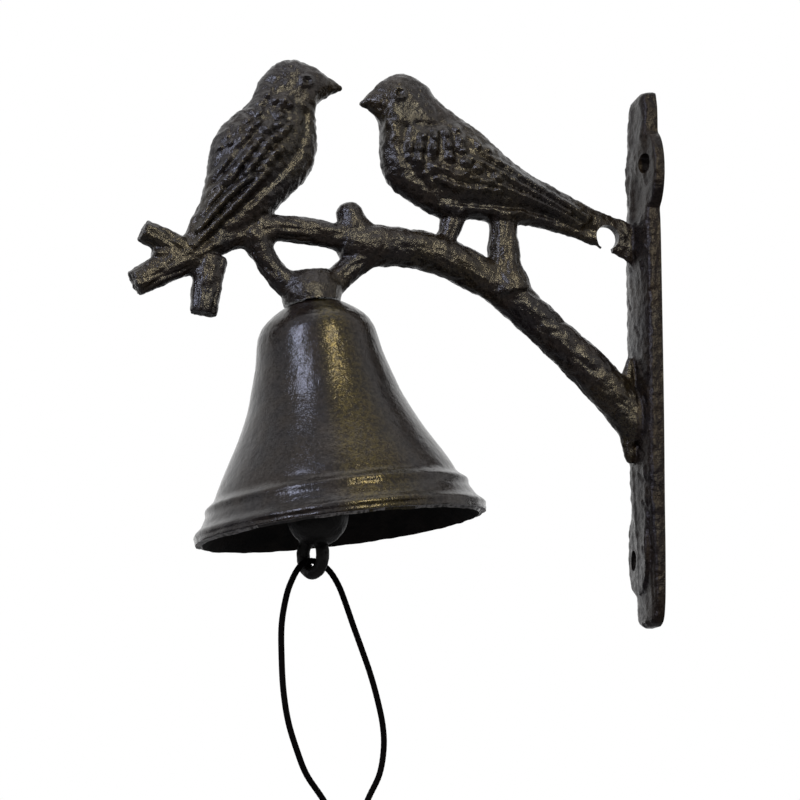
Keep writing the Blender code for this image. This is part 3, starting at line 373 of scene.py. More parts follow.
# Grooves of the right bird, drawn in the same way, their depths in place of the rise
RIGHT_GROOVES = (
    (0.7, 1.9, (0.810, -0.004), (0.765, 0.011), (0.734, 0.052), (0.723, 0.077)),
    (0.8, 1.6, (0.638, -0.196), (0.532, -0.152), (0.377, -0.086), (0.260, -0.055)),
)

# Fine skin of the casting, and the lumps and pebbles that the sand leaves in it
FINE_GRID = 0.00052
FINE_SMOOTHING = 12
WALL_MARGIN = 0.0008
LUMP_SIZE = 0.0026
LUMP_HEIGHT = 0.00028
PEBBLE_SIZE = 0.0010
PEBBLE_HEIGHT = 0.00013
SIDE_FACING_SHARE = 0.25
FRONT_FACING_SHARES = (0.2, 0.6)
SMOOTH_BOSS_SHARES = (0.5, 0.75)

# Feathers and coverts: how round, how lumpy and how even they are
FEATHER_RISE = 0.0021
FEATHER_WIDTH = 0.0029
FEATHER_LUMP = 0.0042
FEATHER_WAVE_SHARE = 0.26
FEATHER_SHIFT_SHARE = 0.37
FEATHER_NOISE = 0.00030
FEATHER_NOISE_SHARE = 0.7
SMOOTH_TAIL_SHARES = (0.25, 0.60)
DOME_FALLS = (0.9, 0.35)
COVERT_WIDTH = 0.0033
COVERT_RISE_SHARE = 0.9
COVERT_STRETCH = 0.8
COVERT_SIZE_SHARES = (0.9, 0.25)
COVERT_SIZE_TURN = 2.4

# Edge of the wing, roll of the breast and eye
WING_SLOT = 0.0009
WING_SLOT_WIDTH = 0.0016
BREAST_ROLL = 0.0005
BREAST_ROLL_WIDTH = 0.0034
BREAST_ROLL_SHARE = 1.1
EYE_RIM_SHARPNESS = 9
EYE_HOLLOW_SHARE = 0.4
EYE_HOLLOW_SHARPNESS = 7

# Bark of the limbs: grooves along them, with finer ones between
BARK_LENGTH = 0.0130
BARK_RIDGES = 1.15
BARK_DEPTH = 0.00042
BARK_LEVEL = 0.45
BARK_SHARPNESS = 3.2
FINE_BARK_SHARE = 0.45
FINE_BARK_SHARPNESS = 3.0
FINE_BARK_STRETCH = (1.8, 2.3, 2.3)
BARK_SHIFT = 7
BARK_REACH = 0.0075
BARK_FADE_SHARE = 1.15
BARK_BLEND = 0.0020
NICK_WIDTH = 0.0006
NICK_DEPTH = 0.0005

# Skin, bands and lip of the bell
BELL_FINE_SEGMENTS = 220
BELL_FINE_STEPS = 7
BELL_WAVE = 0.014
BELL_WAVE_HEIGHT = 0.00022
BELL_PEBBLE_SHARE = 0.7
BELL_PEBBLE_STRETCH = 1.6
BEAD_RISE_SHARE = 1.35
BEAD_SHARPNESS = 1.6
BEAD_GROOVE_SHARE = 0.55
BEAD_GROOVE_SHARPNESS = 0.9
BEAD_GROOVE_PLACE = 1.5
LIP_LUMP = 0.0042
LIP_LUMP_HEIGHT = 0.00028
ROUGH_LIP_SHARES = (0.93, 0.975)
SMOOTH_SEAT_SHARES = (0.42, 0.60)
INSIDE_FACING_SHARE = 0.15
LIP_FACING_SHARE = 0.7

# Small cast, forged and turned pieces
CLAPPER_GRID = 0.0004
CLAPPER_SMOOTHING = 4
CLAPPER_ROUGH_SHARE = 0.6
CLAPPER_NECK_SHARES = (0.6, 0.8)
BOLT_GRID_SHARE = 0.7
BOLT_SMOOTHING = 3
BOLT_TIP_SHARE = 0.8
BOLT_CHAMFER_SHARE = 0.3
BOLT_ROOT_SHARE = 0.9
TURNED_SEGMENTS = 72
RING_STEPS = 72
BALL_FINE_STEPS = 40
WASHER_EDGE_SHARE = 0.25
NUT_EDGE_SHARE = 0.12

# Braid and knot of the cord, and the way of its short ends: out from the middle and up
BRAID_PITCH = 0.0016
BRAID_DEPTH = 0.00010
BRAID_STRANDS = 6
CORD_SEGMENTS = 24
CORD_RING_SPACING = 0.00025
CORD_END_SHARE = 0.8
KNOT_PACKING = 0.9996
KNOT_TURNS = 2.6
KNOT_TAPER_SHARE = 0.35
KNOT_WINDING_STEPS = 110
KNOT_WINDING_HEIGHT = KNOT_HEIGHT - 0.9 * CORD_DIAMETER
KNOT_CORD_SHARE = 0.98
KNOT_END_PLACES = (
    (0.45 * CORD_DIAMETER, 0.45 * KNOT_HEIGHT), (0.50 * CORD_DIAMETER, -0.50 * KNOT_HEIGHT),
    (0.72 * TAIL_SPREAD, -0.72 * TAIL_LENGTH), (0.86 * TAIL_SPREAD, -TAIL_LENGTH),
)

# Iron of the arm, the plate and the bell: height of its pebbles, share of painted shade in its pits,
# roughness, olive tinge (on the bell a painted gleam) and sheen. Painted shade of the bell's inside and
# soot of the clapper: gloss and depth of their colour.
ARM_IRON = (0.00020, 0.50, 0.14, 0.22, 0.38)
PLATE_IRON = (0.00020, 0.50, 0.18, 0.05, 0.14)
BELL_IRON = (0.00011, 0.45, 0.09, 0.75, 0.38)
BELL_INSIDE_PAINTED_SHADE = (0.0, 1.0)
CLAPPER_SOOT = (0.36, 0.45)

# How wide the lumps of the finishes are
PATCH_SIZE = 0.011
SPECK_SIZE = 0.0012
FINE_SPECK_SIZE = 0.00050
GRAIN_SIZE = 0.0006
SOFT_SIZE = 0.0045
TINGE_SIZE = 0.030
CHIP_SIZE = 0.0016
SOOT_AND_SHADE_SIZE = 0.006
SOOT_AND_SHADE_GRAIN_SIZE = 0.0011
DULL_SIZE = 0.0030
SCRATCH_SIZE = 0.0006
FIBRE_SIZE = 0.00025
WEAR_SIZE = 0.004
CLOUD_SIZE = 0.4

# Colours of the finishes
COOL_LACQUER = (0.0098, 0.0073, 0.0082)
WARM_LACQUER = (0.0155, 0.0100, 0.0072)
# Gold of the specks: a random olive tinge on the arm, a painted gleam on the bell
OLIVE_GOLD_AND_GLEAM = (0.070, 0.054, 0.015)
RUBBED_CREST = (0.030, 0.027, 0.028)
# Colour of the pits and creases of the iron: painted shade
PAINTED_HOLLOW_SHADE = (0.0014, 0.0011, 0.0011)
DULL_LIP = (0.040, 0.036, 0.036)
BRIGHT_LIP = (0.210, 0.200, 0.200)
# Dark colours that are painted shade inside the bell and sooty iron on the clapper
BLACK_SOOT_AND_SHADE = (0.0022, 0.0018, 0.0018)
GREY_SOOT_AND_SHADE = (0.0085, 0.0068, 0.0062)
DULL_STEEL = (0.045, 0.042, 0.040)
WORN_STEEL = (0.115, 0.105, 0.095)
BLACK_COTTON = (0.0016, 0.0012, 0.0014)
WORN_COTTON = (0.0042, 0.0034, 0.0038)
PALE_FLOOR = (0.83, 0.83, 0.83)
PALER_FLOOR = (0.86, 0.86, 0.86)

# Colours of the world, with their alpha
WHITE = (1.0, 1.0, 1.0, 1.0)
ROOM_TINT = (0.93, 0.95, 1.0, 1.0)

# The room: a floor well below the part, and its own faint light
FLOOR_SIZE = 20.0
FLOOR_DROP = 1.00
ROOM_LIGHT = 0.16

# Lamps: name, place, what it is aimed at, size, power in watts and tint
LAMPS = (
    ("cool_window", (-0.90, -0.55, 0.42), (-0.10, 0, -0.02), (0.12, 0.70), 8.0, (0.68, 0.75, 1.0)),
    ("warm_window", (0.00, -0.97, 0.46), (-0.09, 0, -0.02), (0.10, 0.65), 7.4, (1.0, 0.90, 0.60)),
    ("soft_top", (-0.10, -0.15, 1.10), (-0.08, 0, 0.0), (0.70, 0.70), 1.8, (1.0, 0.97, 0.95)),
)


def vertex_places(mesh, key="co"):
    places = np.empty(len(mesh.vertices) * 3, np.float32)
    mesh.vertices.foreach_get(key, places)
    return places.reshape(-1, 3).astype(float)


def set_places(mesh, places):
    mesh.vertices.foreach_set("co", places.astype(np.float32).ravel())
    mesh.update()


def rough_field(places, size, seed=0.0):
    """Smooth noise between -1 and 1 at each place, its lumps about as wide as size."""
    shift = Vector((seed, seed, seed))
    return np.array([noise.noise(Vector(place) / size + shift) for place in places])


def smooth_step(value, low, high):
    share = np.clip((value - low) / (high - low), 0, 1)
    return share * share * (3 - 2 * share)


def closed_mesh(name, shape):
    """A mesh from a shape, its faces all turned outward. The shape is used up."""
    bmesh.ops.recalc_face_normals(shape, faces=shape.faces)
    mesh = bpy.data.meshes.new(name)
    shape.to_mesh(mesh)
    shape.free()
    return mesh


def linked_object(name, data):
    item = bpy.data.objects.new(name, data)
    bpy.context.collection.objects.link(item)
    return item


def smooth_between_edges(mesh):
    mesh.shade_smooth()
    mesh.set_sharp_from_angle(angle=SHARP_ANGLE)


def evaluated_mesh(item):
    graph = bpy.context.evaluated_depsgraph_get()
    return bpy.data.meshes.new_from_object(item.evaluated_get(graph))


def fused_skin(shape, grid, smoothing):
    """One even skin over overlapping solids, its inner corners softened."""
    rough = linked_object("rough_casting", closed_mesh("rough_casting", shape))
    skin = rough.modifiers.new("casting_skin", "REMESH")
    skin.mode = "VOXEL"
    skin.voxel_size = grid
    fillets = rough.modifiers.new("fillets", "SMOOTH")
    fillets.factor = 0.5
    fillets.iterations = smoothing
    mesh = evaluated_mesh(rough)
    bpy.data.objects.remove(rough)
    return mesh


def cut(mesh, cutters):
    """What is left of a mesh when solids are cut out of it. The solids are used up."""
    item = linked_object("casting_to_cut", mesh)
    for cutter in cutters:
        step = item.modifiers.new(cutter.name, "BOOLEAN")
        step.operation = "DIFFERENCE"
        step.object = cutter
        step.solver = "EXACT"
    left = evaluated_mesh(item)
    for used in (item, *cutters):
        bpy.data.objects.remove(used)
    return left


def kept_in_box(mesh, node):
    """Hold every point of a mesh inside the box of the solid that it stands for."""
    low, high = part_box(node)
    set_places(mesh, np.clip(vertex_places(mesh), np.array(low), np.array(high)))


def placed_piece(name, mesh, finishes, node, body):
    """A finished mesh as a piece that stands for a solid and rides on its body."""
    mesh.materials.clear()
    for finish in finishes:
        mesh.materials.append(finish)
    piece = linked_object(name, mesh)
    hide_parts(node)
    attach(piece, body)
    return piece


def between(before, start, end, after, share):
    """Catmull-Rom value between start and end."""
    slope_in = (end - before) / 2
    slope_out = (after - start) / 2
    square, cube = share * share, share * share * share
    return (
        (2 * cube - 3 * square + 1) * start
        + (cube - 2 * square + share) * slope_in
        + (3 * square - 2 * cube) * end
        + (cube - square) * slope_out
    )


def smooth_run(stations, steps):
    """Stations with smooth in-between ones, each a tuple of the same length."""
    run = []
    last = len(stations) - 1
    for index in range(last):
        four = [stations[min(max(index + k, 0), last)] for k in (-1, 0, 1, 2)]
        for step in range(steps):
            run.append(tuple(between(*values, step / steps) for values in zip(*four)))
    run.append(tuple(stations[-1]))
    return run


def add_skin(shape, rings, closed=False):
    """Faces between rings of points, and one at each end unless the last ring joins the first."""
    rows = [[shape.verts.new(point) for point in ring] for ring in rings]
    following_rows = rows[1:] + (rows[:1] if closed else [])
    for row, following in zip(rows, following_rows):
        for index, point in enumerate(row):
            beside = (index + 1) % len(row)
            shape.faces.new((point, row[beside], following[beside], following[index]))
    if not closed:
        shape.faces.new(rows[0])
        shape.faces.new(rows[-1])


def oval_ring(centre, across, depth):
    """An oval around a centre in the plane of the arm: across lies in that plane, depth along Y."""
    ring = []
    for index in range(RING_POINTS):
        angle = math.tau * index / RING_POINTS
        ring.append(centre + across * math.cos(angle) + Vector((0, depth * math.sin(angle), 0)))
    return ring


def arm_point(out_share, rise_share):
    return Vector((-ARM_REACH * out_share, 0, ARM_RISE * rise_share - ARM_ROOT_DROP))


def direction(angle):
    """The way at an angle from +X towards +Z."""
    return Vector((math.cos(angle), 0, math.sin(angle)))


def add_limb(shape, centres, widths, depths):
    """An oval limb along centres in the plane of the arm, with a full width and depth at each."""
    rings = []
    for index, centre in enumerate(centres):
        before = centres[max(index - 1, 0)]
        after = centres[min(index + 1, len(centres) - 1)]
        along = (after - before).normalized()
        across = Vector((-along.z, 0, along.x))
        rings.append(oval_ring(centre, across * widths[index] / 2, depths[index] / 2))
    add_skin(shape, rings)


def add_arm_limb(shape, table, width, depth):
    run = smooth_run(table, STEPS_BETWEEN_STATIONS)
    centres = [arm_point(out_share, rise_share) for out_share, rise_share, _ in run]
    add_limb(shape, centres, [width * share for *_, share in run], [depth * share for *_, share in run])


def add_twig(shape, root, angle, length, width):
    tip = root + direction(angle) * length
    widths = [width * TWIG_ROOT_SHARE, width * TWIG_TIP_SHARE]
    depths = [TWIG_DEPTH * TWIG_ROOT_SHARE, TWIG_DEPTH * TWIG_TIP_SHARE]
    add_limb(shape, [root, tip], widths, depths)


def add_knob(shape):
    foot = arm_point(*KNOB_FOOT_SHARE)
    along = direction(KNOB_LEAN)
    centres = [foot + along * KNOB_HEIGHT * height for height, _, _ in KNOB_SHARES]
    widths = [LIMB_WIDTH * share for _, share, _ in KNOB_SHARES]
    depths = [LIMB_WIDTH * share for _, _, share in KNOB_SHARES]
    add_limb(shape, centres, widths, depths)


def add_boss(shape, bell_place):
    """Round boss on the bell's axis, a little longer than its seat, to be cut flat."""
    axis = bell_place.to_quaternion() @ Vector((0, 0, 1))
    levels = [-OVERRUN, 0.0] + [BOSS_HEIGHT * level for level, _, _ in BOSS_SHARES]
    widths = [BOSS_WIDTH, BOSS_WIDTH] + [BOSS_WIDTH * share for _, share, _ in BOSS_SHARES]
    depths = [BOSS_WIDTH, BOSS_WIDTH] + [BOSS_WIDTH * share for _, _, share in BOSS_SHARES]
    add_limb(shape, [bell_place.translation + axis * level for level in levels], widths, depths)


def add_trunk(shape):
    """The half-round strip that lies on the wall, its back a little past x = 0 to be cut flat."""
    rings = []
    for level, shift, wide, high in smooth_run(TRUNK_SHARES, STEPS_BETWEEN_STATIONS):
        centre_y = PLATE_WIDTH * shift / 2
        half = PLATE_WIDTH * wide / 2
        edge = PLATE_EDGE * high
        crest = PLATE_CREST * high - edge
        height = PLATE_HEIGHT * level / 2
        ring = [Vector((OVERRUN, centre_y - half, height)), Vector((OVERRUN, centre_y + half, height))]
        for index in range(RING_POINTS - 1):
            angle = math.pi * index / (RING_POINTS - 2)
            bulge = max(math.sin(angle), 0.0) ** TRUNK_ROUNDNESS
            ring.append(Vector((-edge - crest * bulge, centre_y + half * math.cos(angle), height)))
        rings.append(ring)
    add_skin(shape, rings)


def add_ears(shape):
    """Two lobes for the wall screws, one on each side of the trunk, their faces rising towards it."""
    for side in (-1, 1):
        centre = Vector((0, side * EAR_OFFSET, -side * EAR_LEVEL))
        back, front = [], []
        for index in range(RING_POINTS * 2):
            angle = math.pi * index / RING_POINTS
            wide = math.copysign(abs(math.cos(angle)) ** EAR_ROUNDNESS, math.cos(angle))
            place = centre + Vector((OVERRUN, wide * EAR_WIDTH / 2, math.sin(angle) * EAR_HEIGHT / 2))
            back.append(place)
            rise = EAR_RISE * (1 - wide * side) / 2
            front.append(place - Vector((OVERRUN + EAR_THICKNESS + rise, 0, 0)))
        add_skin(shape, [back, front])


def from_line(here, first, second):
    """Distance from a straight line, way along it, and the side's distance, for points of a plane."""
    span = second - first
    size = np.hypot(*span)
    reach = np.clip((here - first) @ span / size ** 2, 0, 1)
    away = here - first - reach[:, None] * span
    return np.hypot(away[:, 0], away[:, 1]), size * reach, away @ np.array((-span[1], span[0])) / size


def from_run(here, run, start=0.0):
    """The same from a run of straight lines, the way along it counted from start."""
    nearest = np.full(len(here), np.inf)
    along, aside = np.zeros(len(here)), np.zeros(len(here))
    travelled = start
    for first, second in zip(run, run[1:]):
        distance, reach, side = from_line(here, first, second)
        closer = distance < nearest
        nearest = np.where(closer, distance, nearest)
        along = np.where(closer, travelled + reach, along)
        aside = np.where(closer, side, aside)
        travelled += np.hypot(*(second - first))
    return nearest, along, aside


def dome(away):
    """1 in the middle of a round lump, falling to 0 a little past its edge."""
    return np.exp(-DOME_FALLS[0] * away ** 2 - DOME_FALLS[1] * away ** 4)


def hill(away, sharpness=1):
    """1 where away is 0, falling off to both sides."""
    return np.exp(-(away ** 2) * sharpness)


class BirdSide:
    """The side of a bird, in its own frame from tail tip to beak, in metres."""

    def __init__(
        self, stations, tail_share, angle, length, side, wing, eye, feathers, coverts, grooves,
    ):
        self.stations = smooth_run(stations, STEPS_BETWEEN_STATIONS)
        self.tail = arm_point(*tail_share)
        self.length = length
        self.forward = direction(angle)
        self.upward = Vector((-self.forward.z, 0, self.forward.x)) * side
        self.wing = np.array(smooth_run(wing, STEPS_BETWEEN_STATIONS)) * length
        self.eye = np.array(eye) * length
        self.long_feathers, self.coverts, self.grooves = feathers, coverts, grooves
        backs = [station[:2] for station in self.stations]
        bellies = [station[2:4] for station in self.stations]
        self.outline = np.array(backs + bellies[::-1]) * length

    def point(self, along, upward):
        return self.tail + (self.forward * along + self.upward * upward) * self.length

    def add(self, shape):
        rings = []
        for back_along, back_up, belly_along, belly_up, depth in self.stations:
            back = self.point(back_along, back_up)
            belly = self.point(belly_along, belly_up)
            rings.append(oval_ring((back + belly) / 2, (back - belly) / 2, BIRD_DEPTH * depth / 2))
        add_skin(shape, rings)

    def local(self, places):
        offset = places - np.array(self.tail)
        return np.stack((offset @ np.array(self.forward), offset @ np.array(self.upward)), axis=1)

    def covers(self, here):
        """Which points of the bird's own frame are inside its outline."""
        inside = np.zeros(len(here), bool)
        for corner, before in zip(self.outline, np.roll(self.outline, 1, axis=0)):
            if corner[1] == before[1]:
                continue
            across = (corner[1] > here[:, 1]) != (before[1] > here[:, 1])
            run = (before[0] - corner[0]) / (before[1] - corner[1])
            inside ^= across & (here[:, 0] < run * (here[:, 1] - corner[1]) + corner[0])
        return inside

    def carving(self, here):
        """Height of feathers, wing edge, breast roll and eye at points of the bird's side."""
        nearest, along, aside = from_run(here, self.wing)
        inside = -np.sign(aside) * nearest
        height = FEATHER_RISE * self.feathers(here)
        height -= WING_SLOT * self.lines(here, self.grooves, WING_SLOT_WIDTH, 0.0)
        slot = WING_SLOT * hill(inside / WING_SLOT_WIDTH)
        height -= slot * smooth_step(along, 0.0, FEATHER_PITCH)
        roll = (inside + BREAST_ROLL_WIDTH * BREAST_ROLL_SHARE) / BREAST_ROLL_WIDTH
        height += BREAST_ROLL * hill(roll) * smooth_step(along, 0.0, FEATHER_PITCH * 2)
        from_eye = np.hypot(*(here - self.eye).T) / EYE_SIZE
        rim = hill(from_eye - 1.0, EYE_RIM_SHARPNESS)
        return height + EYE_RIM * (rim - EYE_HOLLOW_SHARE * hill(from_eye, EYE_HOLLOW_SHARPNESS))

    def feathers(self, here):
        """Share of the full rise: long lumpy feathers and round coverts, whichever stands higher."""
        height = self.lines(here, self.long_feathers, FEATHER_WIDTH, FEATHER_WAVE_SHARE)
        least, swing = COVERT_SIZE_SHARES
        for number, place in enumerate(self.coverts):
            away = here - np.array(place) * self.length
            size = COVERT_WIDTH / 2 * (least + swing * math.sin(number * COVERT_SIZE_TURN))
            lump = dome(np.hypot(away[:, 0] * COVERT_STRETCH, away[:, 1]) / size)
            height = np.maximum(height, COVERT_RISE_SHARE * lump)
        return height

    def lines(self, here, table, width, waviness):
        """Rounded ridges along the lines of a table, each with lumps along it."""
        height = np.zeros(len(here))
        wave = waviness * smooth_step(here[:, 0] / self.length, *SMOOTH_TAIL_SHARES)
        for number, (rise, wide, *line) in enumerate(table):
            run = [np.array(place) * self.length for place in line]
            nearest, along, _ = from_run(here, run, number * FEATHER_LUMP * FEATHER_SHIFT_SHARE)
            lump = 1 - wave + wave * np.cos(math.tau * along / FEATHER_LUMP)
            height = np.maximum(height, rise * lump * dome(nearest / (width * wide / 2)))
        return height


def make_bird_sides():
    left = BirdSide(
        LEFT_BIRD_SHARES, LEFT_BIRD_TAIL_SHARE, LEFT_BIRD_ANGLE, LEFT_BIRD_LENGTH, 1, LEFT_WING_SHARES,
        LEFT_EYE_SHARE, LEFT_FEATHERS, LEFT_COVERTS, (),
    )
    right = BirdSide(
        RIGHT_BIRD_SHARES, RIGHT_BIRD_TAIL_SHARE, RIGHT_BIRD_ANGLE, RIGHT_BIRD_LENGTH, -1,
        RIGHT_WING_SHARES, RIGHT_EYE_SHARE, RIGHT_FEATHERS, RIGHT_COVERTS, RIGHT_GROOVES,
    )
    return left, right


def twigs():
    """Root, angle, length and width of each twig."""
    fork = arm_point(*TWIG_FORK_SHARE)
    hanging_root = arm_point(TWIG_FORK_SHARE[0] - HANGING_TWIG_SHIFT_SHARE, TWIG_FORK_SHARE[1])
    return (
        (fork, UPPER_TWIG_ANGLE, UPPER_TWIG_LENGTH, TWIG_WIDTH * UPPER_TWIG_SHARE),
        (fork, LOWER_TWIG_ANGLE, LOWER_TWIG_LENGTH, TWIG_WIDTH * LOWER_TWIG_SHARE),
        (hanging_root, HANGING_TWIG_ANGLE, HANGING_TWIG_LENGTH, TWIG_WIDTH * HANGING_TWIG_SHARE),
    )


def limb_lines():
    """Centre lines of the bough, its struts, legs and twigs, each as points of the plane of the arm."""
    tables = (BOUGH_SHARES, *LIMB_TABLES, *LEG_TABLES)
    runs = [smooth_run(table, STEPS_BETWEEN_STATIONS) for table in tables]
    lines = [[arm_point(*station[:2]) for station in run] for run in runs]
    lines += [[root, root + direction(angle) * length] for root, angle, length, _ in twigs()]
    return [[np.array((point.x, point.z)) for point in line] for line in lines]


def bark_ridges(spots, sharpness, seed=0.0):
    return 1 - np.clip(np.abs(rough_field(spots, 1.0, seed)) * sharpness, 0, 1)


def bark_height(places):
    """Soft grooves that run along the limbs, fading where two limbs are equally near."""
    nearest, second_nearest = (np.full(len(places), np.inf) for _ in range(2))
    along, offset = np.zeros(len(places)), np.zeros(len(places))
    for number, line in enumerate(limb_lines()):
        distance, reach, aside = from_run(places[:, (0, 2)], line, number * BARK_LENGTH * BARK_SHIFT)
        closer = distance < nearest
        second_nearest = np.minimum(second_nearest, np.where(closer, nearest, distance))
        nearest = np.where(closer, distance, nearest)
        along = np.where(closer, reach, along)
        offset = np.where(closer, aside, offset)
    angle = np.arctan2(places[:, 1], offset)
    round_limb = np.cos(angle) * BARK_RIDGES, np.sin(angle) * BARK_RIDGES
    spots = np.stack((along / BARK_LENGTH, *round_limb), axis=1)
    ridges = bark_ridges(spots, BARK_SHARPNESS)
    fine = bark_ridges(spots * np.array(FINE_BARK_STRETCH), FINE_BARK_SHARPNESS, 5.0)
    height = BARK_DEPTH * (BARK_LEVEL - ridges - FINE_BARK_SHARE * fine)
    apart = smooth_step(second_nearest - nearest, 0.0, BARK_BLEND)
    return height * apart * smooth_step(nearest, BARK_REACH * BARK_FADE_SHARE, BARK_REACH)


def plate_height(places):
    """Short slanting nicks, hollows and pads in the front of the trunk."""
    height = np.zeros(len(places))
    half = np.array((PLATE_WIDTH / 2, PLATE_HEIGHT / 2))
    here = places[:, 1:3]
    for nick in NICK_SHARES:
        distance, _, _ = from_line(here, np.array(nick[:2]) * half, np.array(nick[2:]) * half)
        height -= NICK_DEPTH * hill(distance / NICK_WIDTH)
    for sideways, level, wide, high, depth in DENT_SHARES:
        away = (here / half - np.array((sideways, level))) / np.array((wide, high))
        height += depth * hill((away ** 2).sum(axis=1))
    return height


def finish_casting(mesh, birds, boss_middle):
    """Carve the birds, the bark and the sand grain into the fine skin of the casting."""
    places = vertex_places(mesh)
    normals = vertex_places(mesh, "normal")
    facing = np.clip((np.abs(normals[:, 1]) - SIDE_FACING_SHARE) / (1 - SIDE_FACING_SHARE), 0, 1)
    on_bird = np.zeros(len(places), bool)
    sideways = np.zeros(len(places))
    for bird in birds:
        here = bird.local(places)
        covered = bird.covers(here) & ~on_bird
        sideways[covered] = bird.carving(here[covered]) * facing[covered]
        on_bird |= covered
    on_plate = places[:, 0] > -PLATE_CREST - WALL_MARGIN
    rise = LUMP_HEIGHT * rough_field(places, LUMP_SIZE)
    rise += PEBBLE_HEIGHT * rough_field(places, PEBBLE_SIZE, 9.0)
    feather_noise = FEATHER_NOISE * rough_field(places, LUMP_SIZE * FEATHER_NOISE_SHARE, 4.0)
    rise += np.where(on_bird, feather_noise, 0)
    from_boss = np.linalg.norm(places - np.array(boss_middle), axis=1) / BOSS_WIDTH
    off_boss = smooth_step(from_boss, *SMOOTH_BOSS_SHARES)
    rise += np.where(on_bird | on_plate, 0, bark_height(places) * off_boss)
    front = smooth_step(-normals[:, 0], *FRONT_FACING_SHARES)
    rise += np.where(on_plate & ~on_bird, plate_height(places) * front, 0)
    off_wall = smooth_step(-places[:, 0], 0.0, WALL_MARGIN)
    places += normals * (rise * off_wall)[:, None]
    places[:, 1] += sideways * np.sign(normals[:, 1])
    places[:, 0] = np.minimum(places[:, 0], 0)
    set_places(mesh, places)


class Signal:
    """A value, colour or vector in a node tree. Arithmetic on values adds Math nodes."""

    def __init__(self, tree, socket=None):
        self.tree = tree
        self.socket = socket

    def node(self, kind, settings=(), sockets=(), output=0):
        """Any node: its settings first, then the values or links of its sockets."""
        made = self.tree.nodes.new(kind)
        for name, setting in dict(settings).items():
            setattr(made, name, setting)
        for name, value in dict(sockets).items():
            if isinstance(value, Signal):
                self.tree.links.new(value.socket, made.inputs[name])
            else:
                made.inputs[name].default_value = value
        return Signal(self.tree, made.outputs[output] if made.outputs else None)

    def maths(self, operation, *values):
        return self.node("ShaderNodeMath", {"operation": operation}, dict(enumerate(values)))

    def __add__(self, other):
        return self.maths("ADD", self, other)

    def __sub__(self, other):
        return self.maths("SUBTRACT", self, other)

    def __rsub__(self, other):
        return self.maths("SUBTRACT", other, self)

    def __mul__(self, other):
        return self.maths("MULTIPLY", self, other)

    def __truediv__(self, other):
        return self.maths("DIVIDE", self, other)

    __radd__ = __add__
    __rmul__ = __mul__

    def clamped(self):
        return self.node("ShaderNodeClamp", {}, {"Value": self})

    def step(self, low, high):
        """0 below low and 1 above high, with a soft rise between them."""
        sockets = {"Value": self, "From Min": low, "From Max": high}
        return self.node("ShaderNodeMapRange", {"interpolation_type": "SMOOTHSTEP"}, sockets)

    def mixed(self, first, second):
        """The first colour where this value is 0, and the second where it is 1."""
        shades = [shade if isinstance(shade, Signal) else (*shade, 1.0) for shade in (first, second)]
        sockets = {0: self, 6: shades[0], 7: shades[1]}
        return self.node("ShaderNodeMix", {"data_type": "RGBA"}, sockets, output=2)

    def noise(self, size, detail=2.0, roughness=0.5, stretch=None):
        """Noise over this vector, with lumps about as wide as size."""
        place = self
        if stretch is not None:
            place = self.node("ShaderNodeVectorMath", {"operation": "MULTIPLY"}, {0: self, 1: stretch})
        sockets = {"Vector": place, "Scale": 1 / size, "Detail": detail, "Roughness": roughness}
        return self.node("ShaderNodeTexNoise", {}, sockets)

    def cells(self, size):
        return self.node("ShaderNodeTexVoronoi", {}, {"Vector": self, "Scale": 1 / size})

    def bump(self, distance, strength=1.0, under=None):
        sockets = {"Height": self, "Distance": distance, "Strength": strength}
        if under is not None:
            sockets["Normal"] = under
        return self.node("ShaderNodeBump", {}, sockets)


def new_finish(name):
    """An empty material, its node tree, and its object coordinates."""
    finish = bpy.data.materials.new(name)
    finish.use_nodes = True
    finish.node_tree.nodes.clear()
    tree = Signal(finish.node_tree)
    return finish, tree, tree.node("ShaderNodeTexCoord", output=3)


def set_surface(tree, sockets):
    shader = tree.node("ShaderNodeBsdfPrincipled", {}, sockets)
    tree.node("ShaderNodeOutputMaterial", {}, {"Surface": shader})


def painted_gleam_band(place, bell_place):
    """Painted gleam of the bell: a gold band down its front, wider to one side, where the warm lamp's
    streak falls.
    """
    side = bell_place.to_quaternion() @ Vector((1, 0, 0))
    across, toward = (
        place.node("ShaderNodeVectorMath", {"operation": "DOT_PRODUCT"}, {0: place, 1: way}, output=1)
        - bell_place.translation.dot(way) for way in (side, Vector((0, -1, 0)))
    )
    turn = across / toward
    return turn.step(-0.34, -0.10) * (1 - turn.step(0.04, 0.52)) * toward.step(0.0, 0.004)


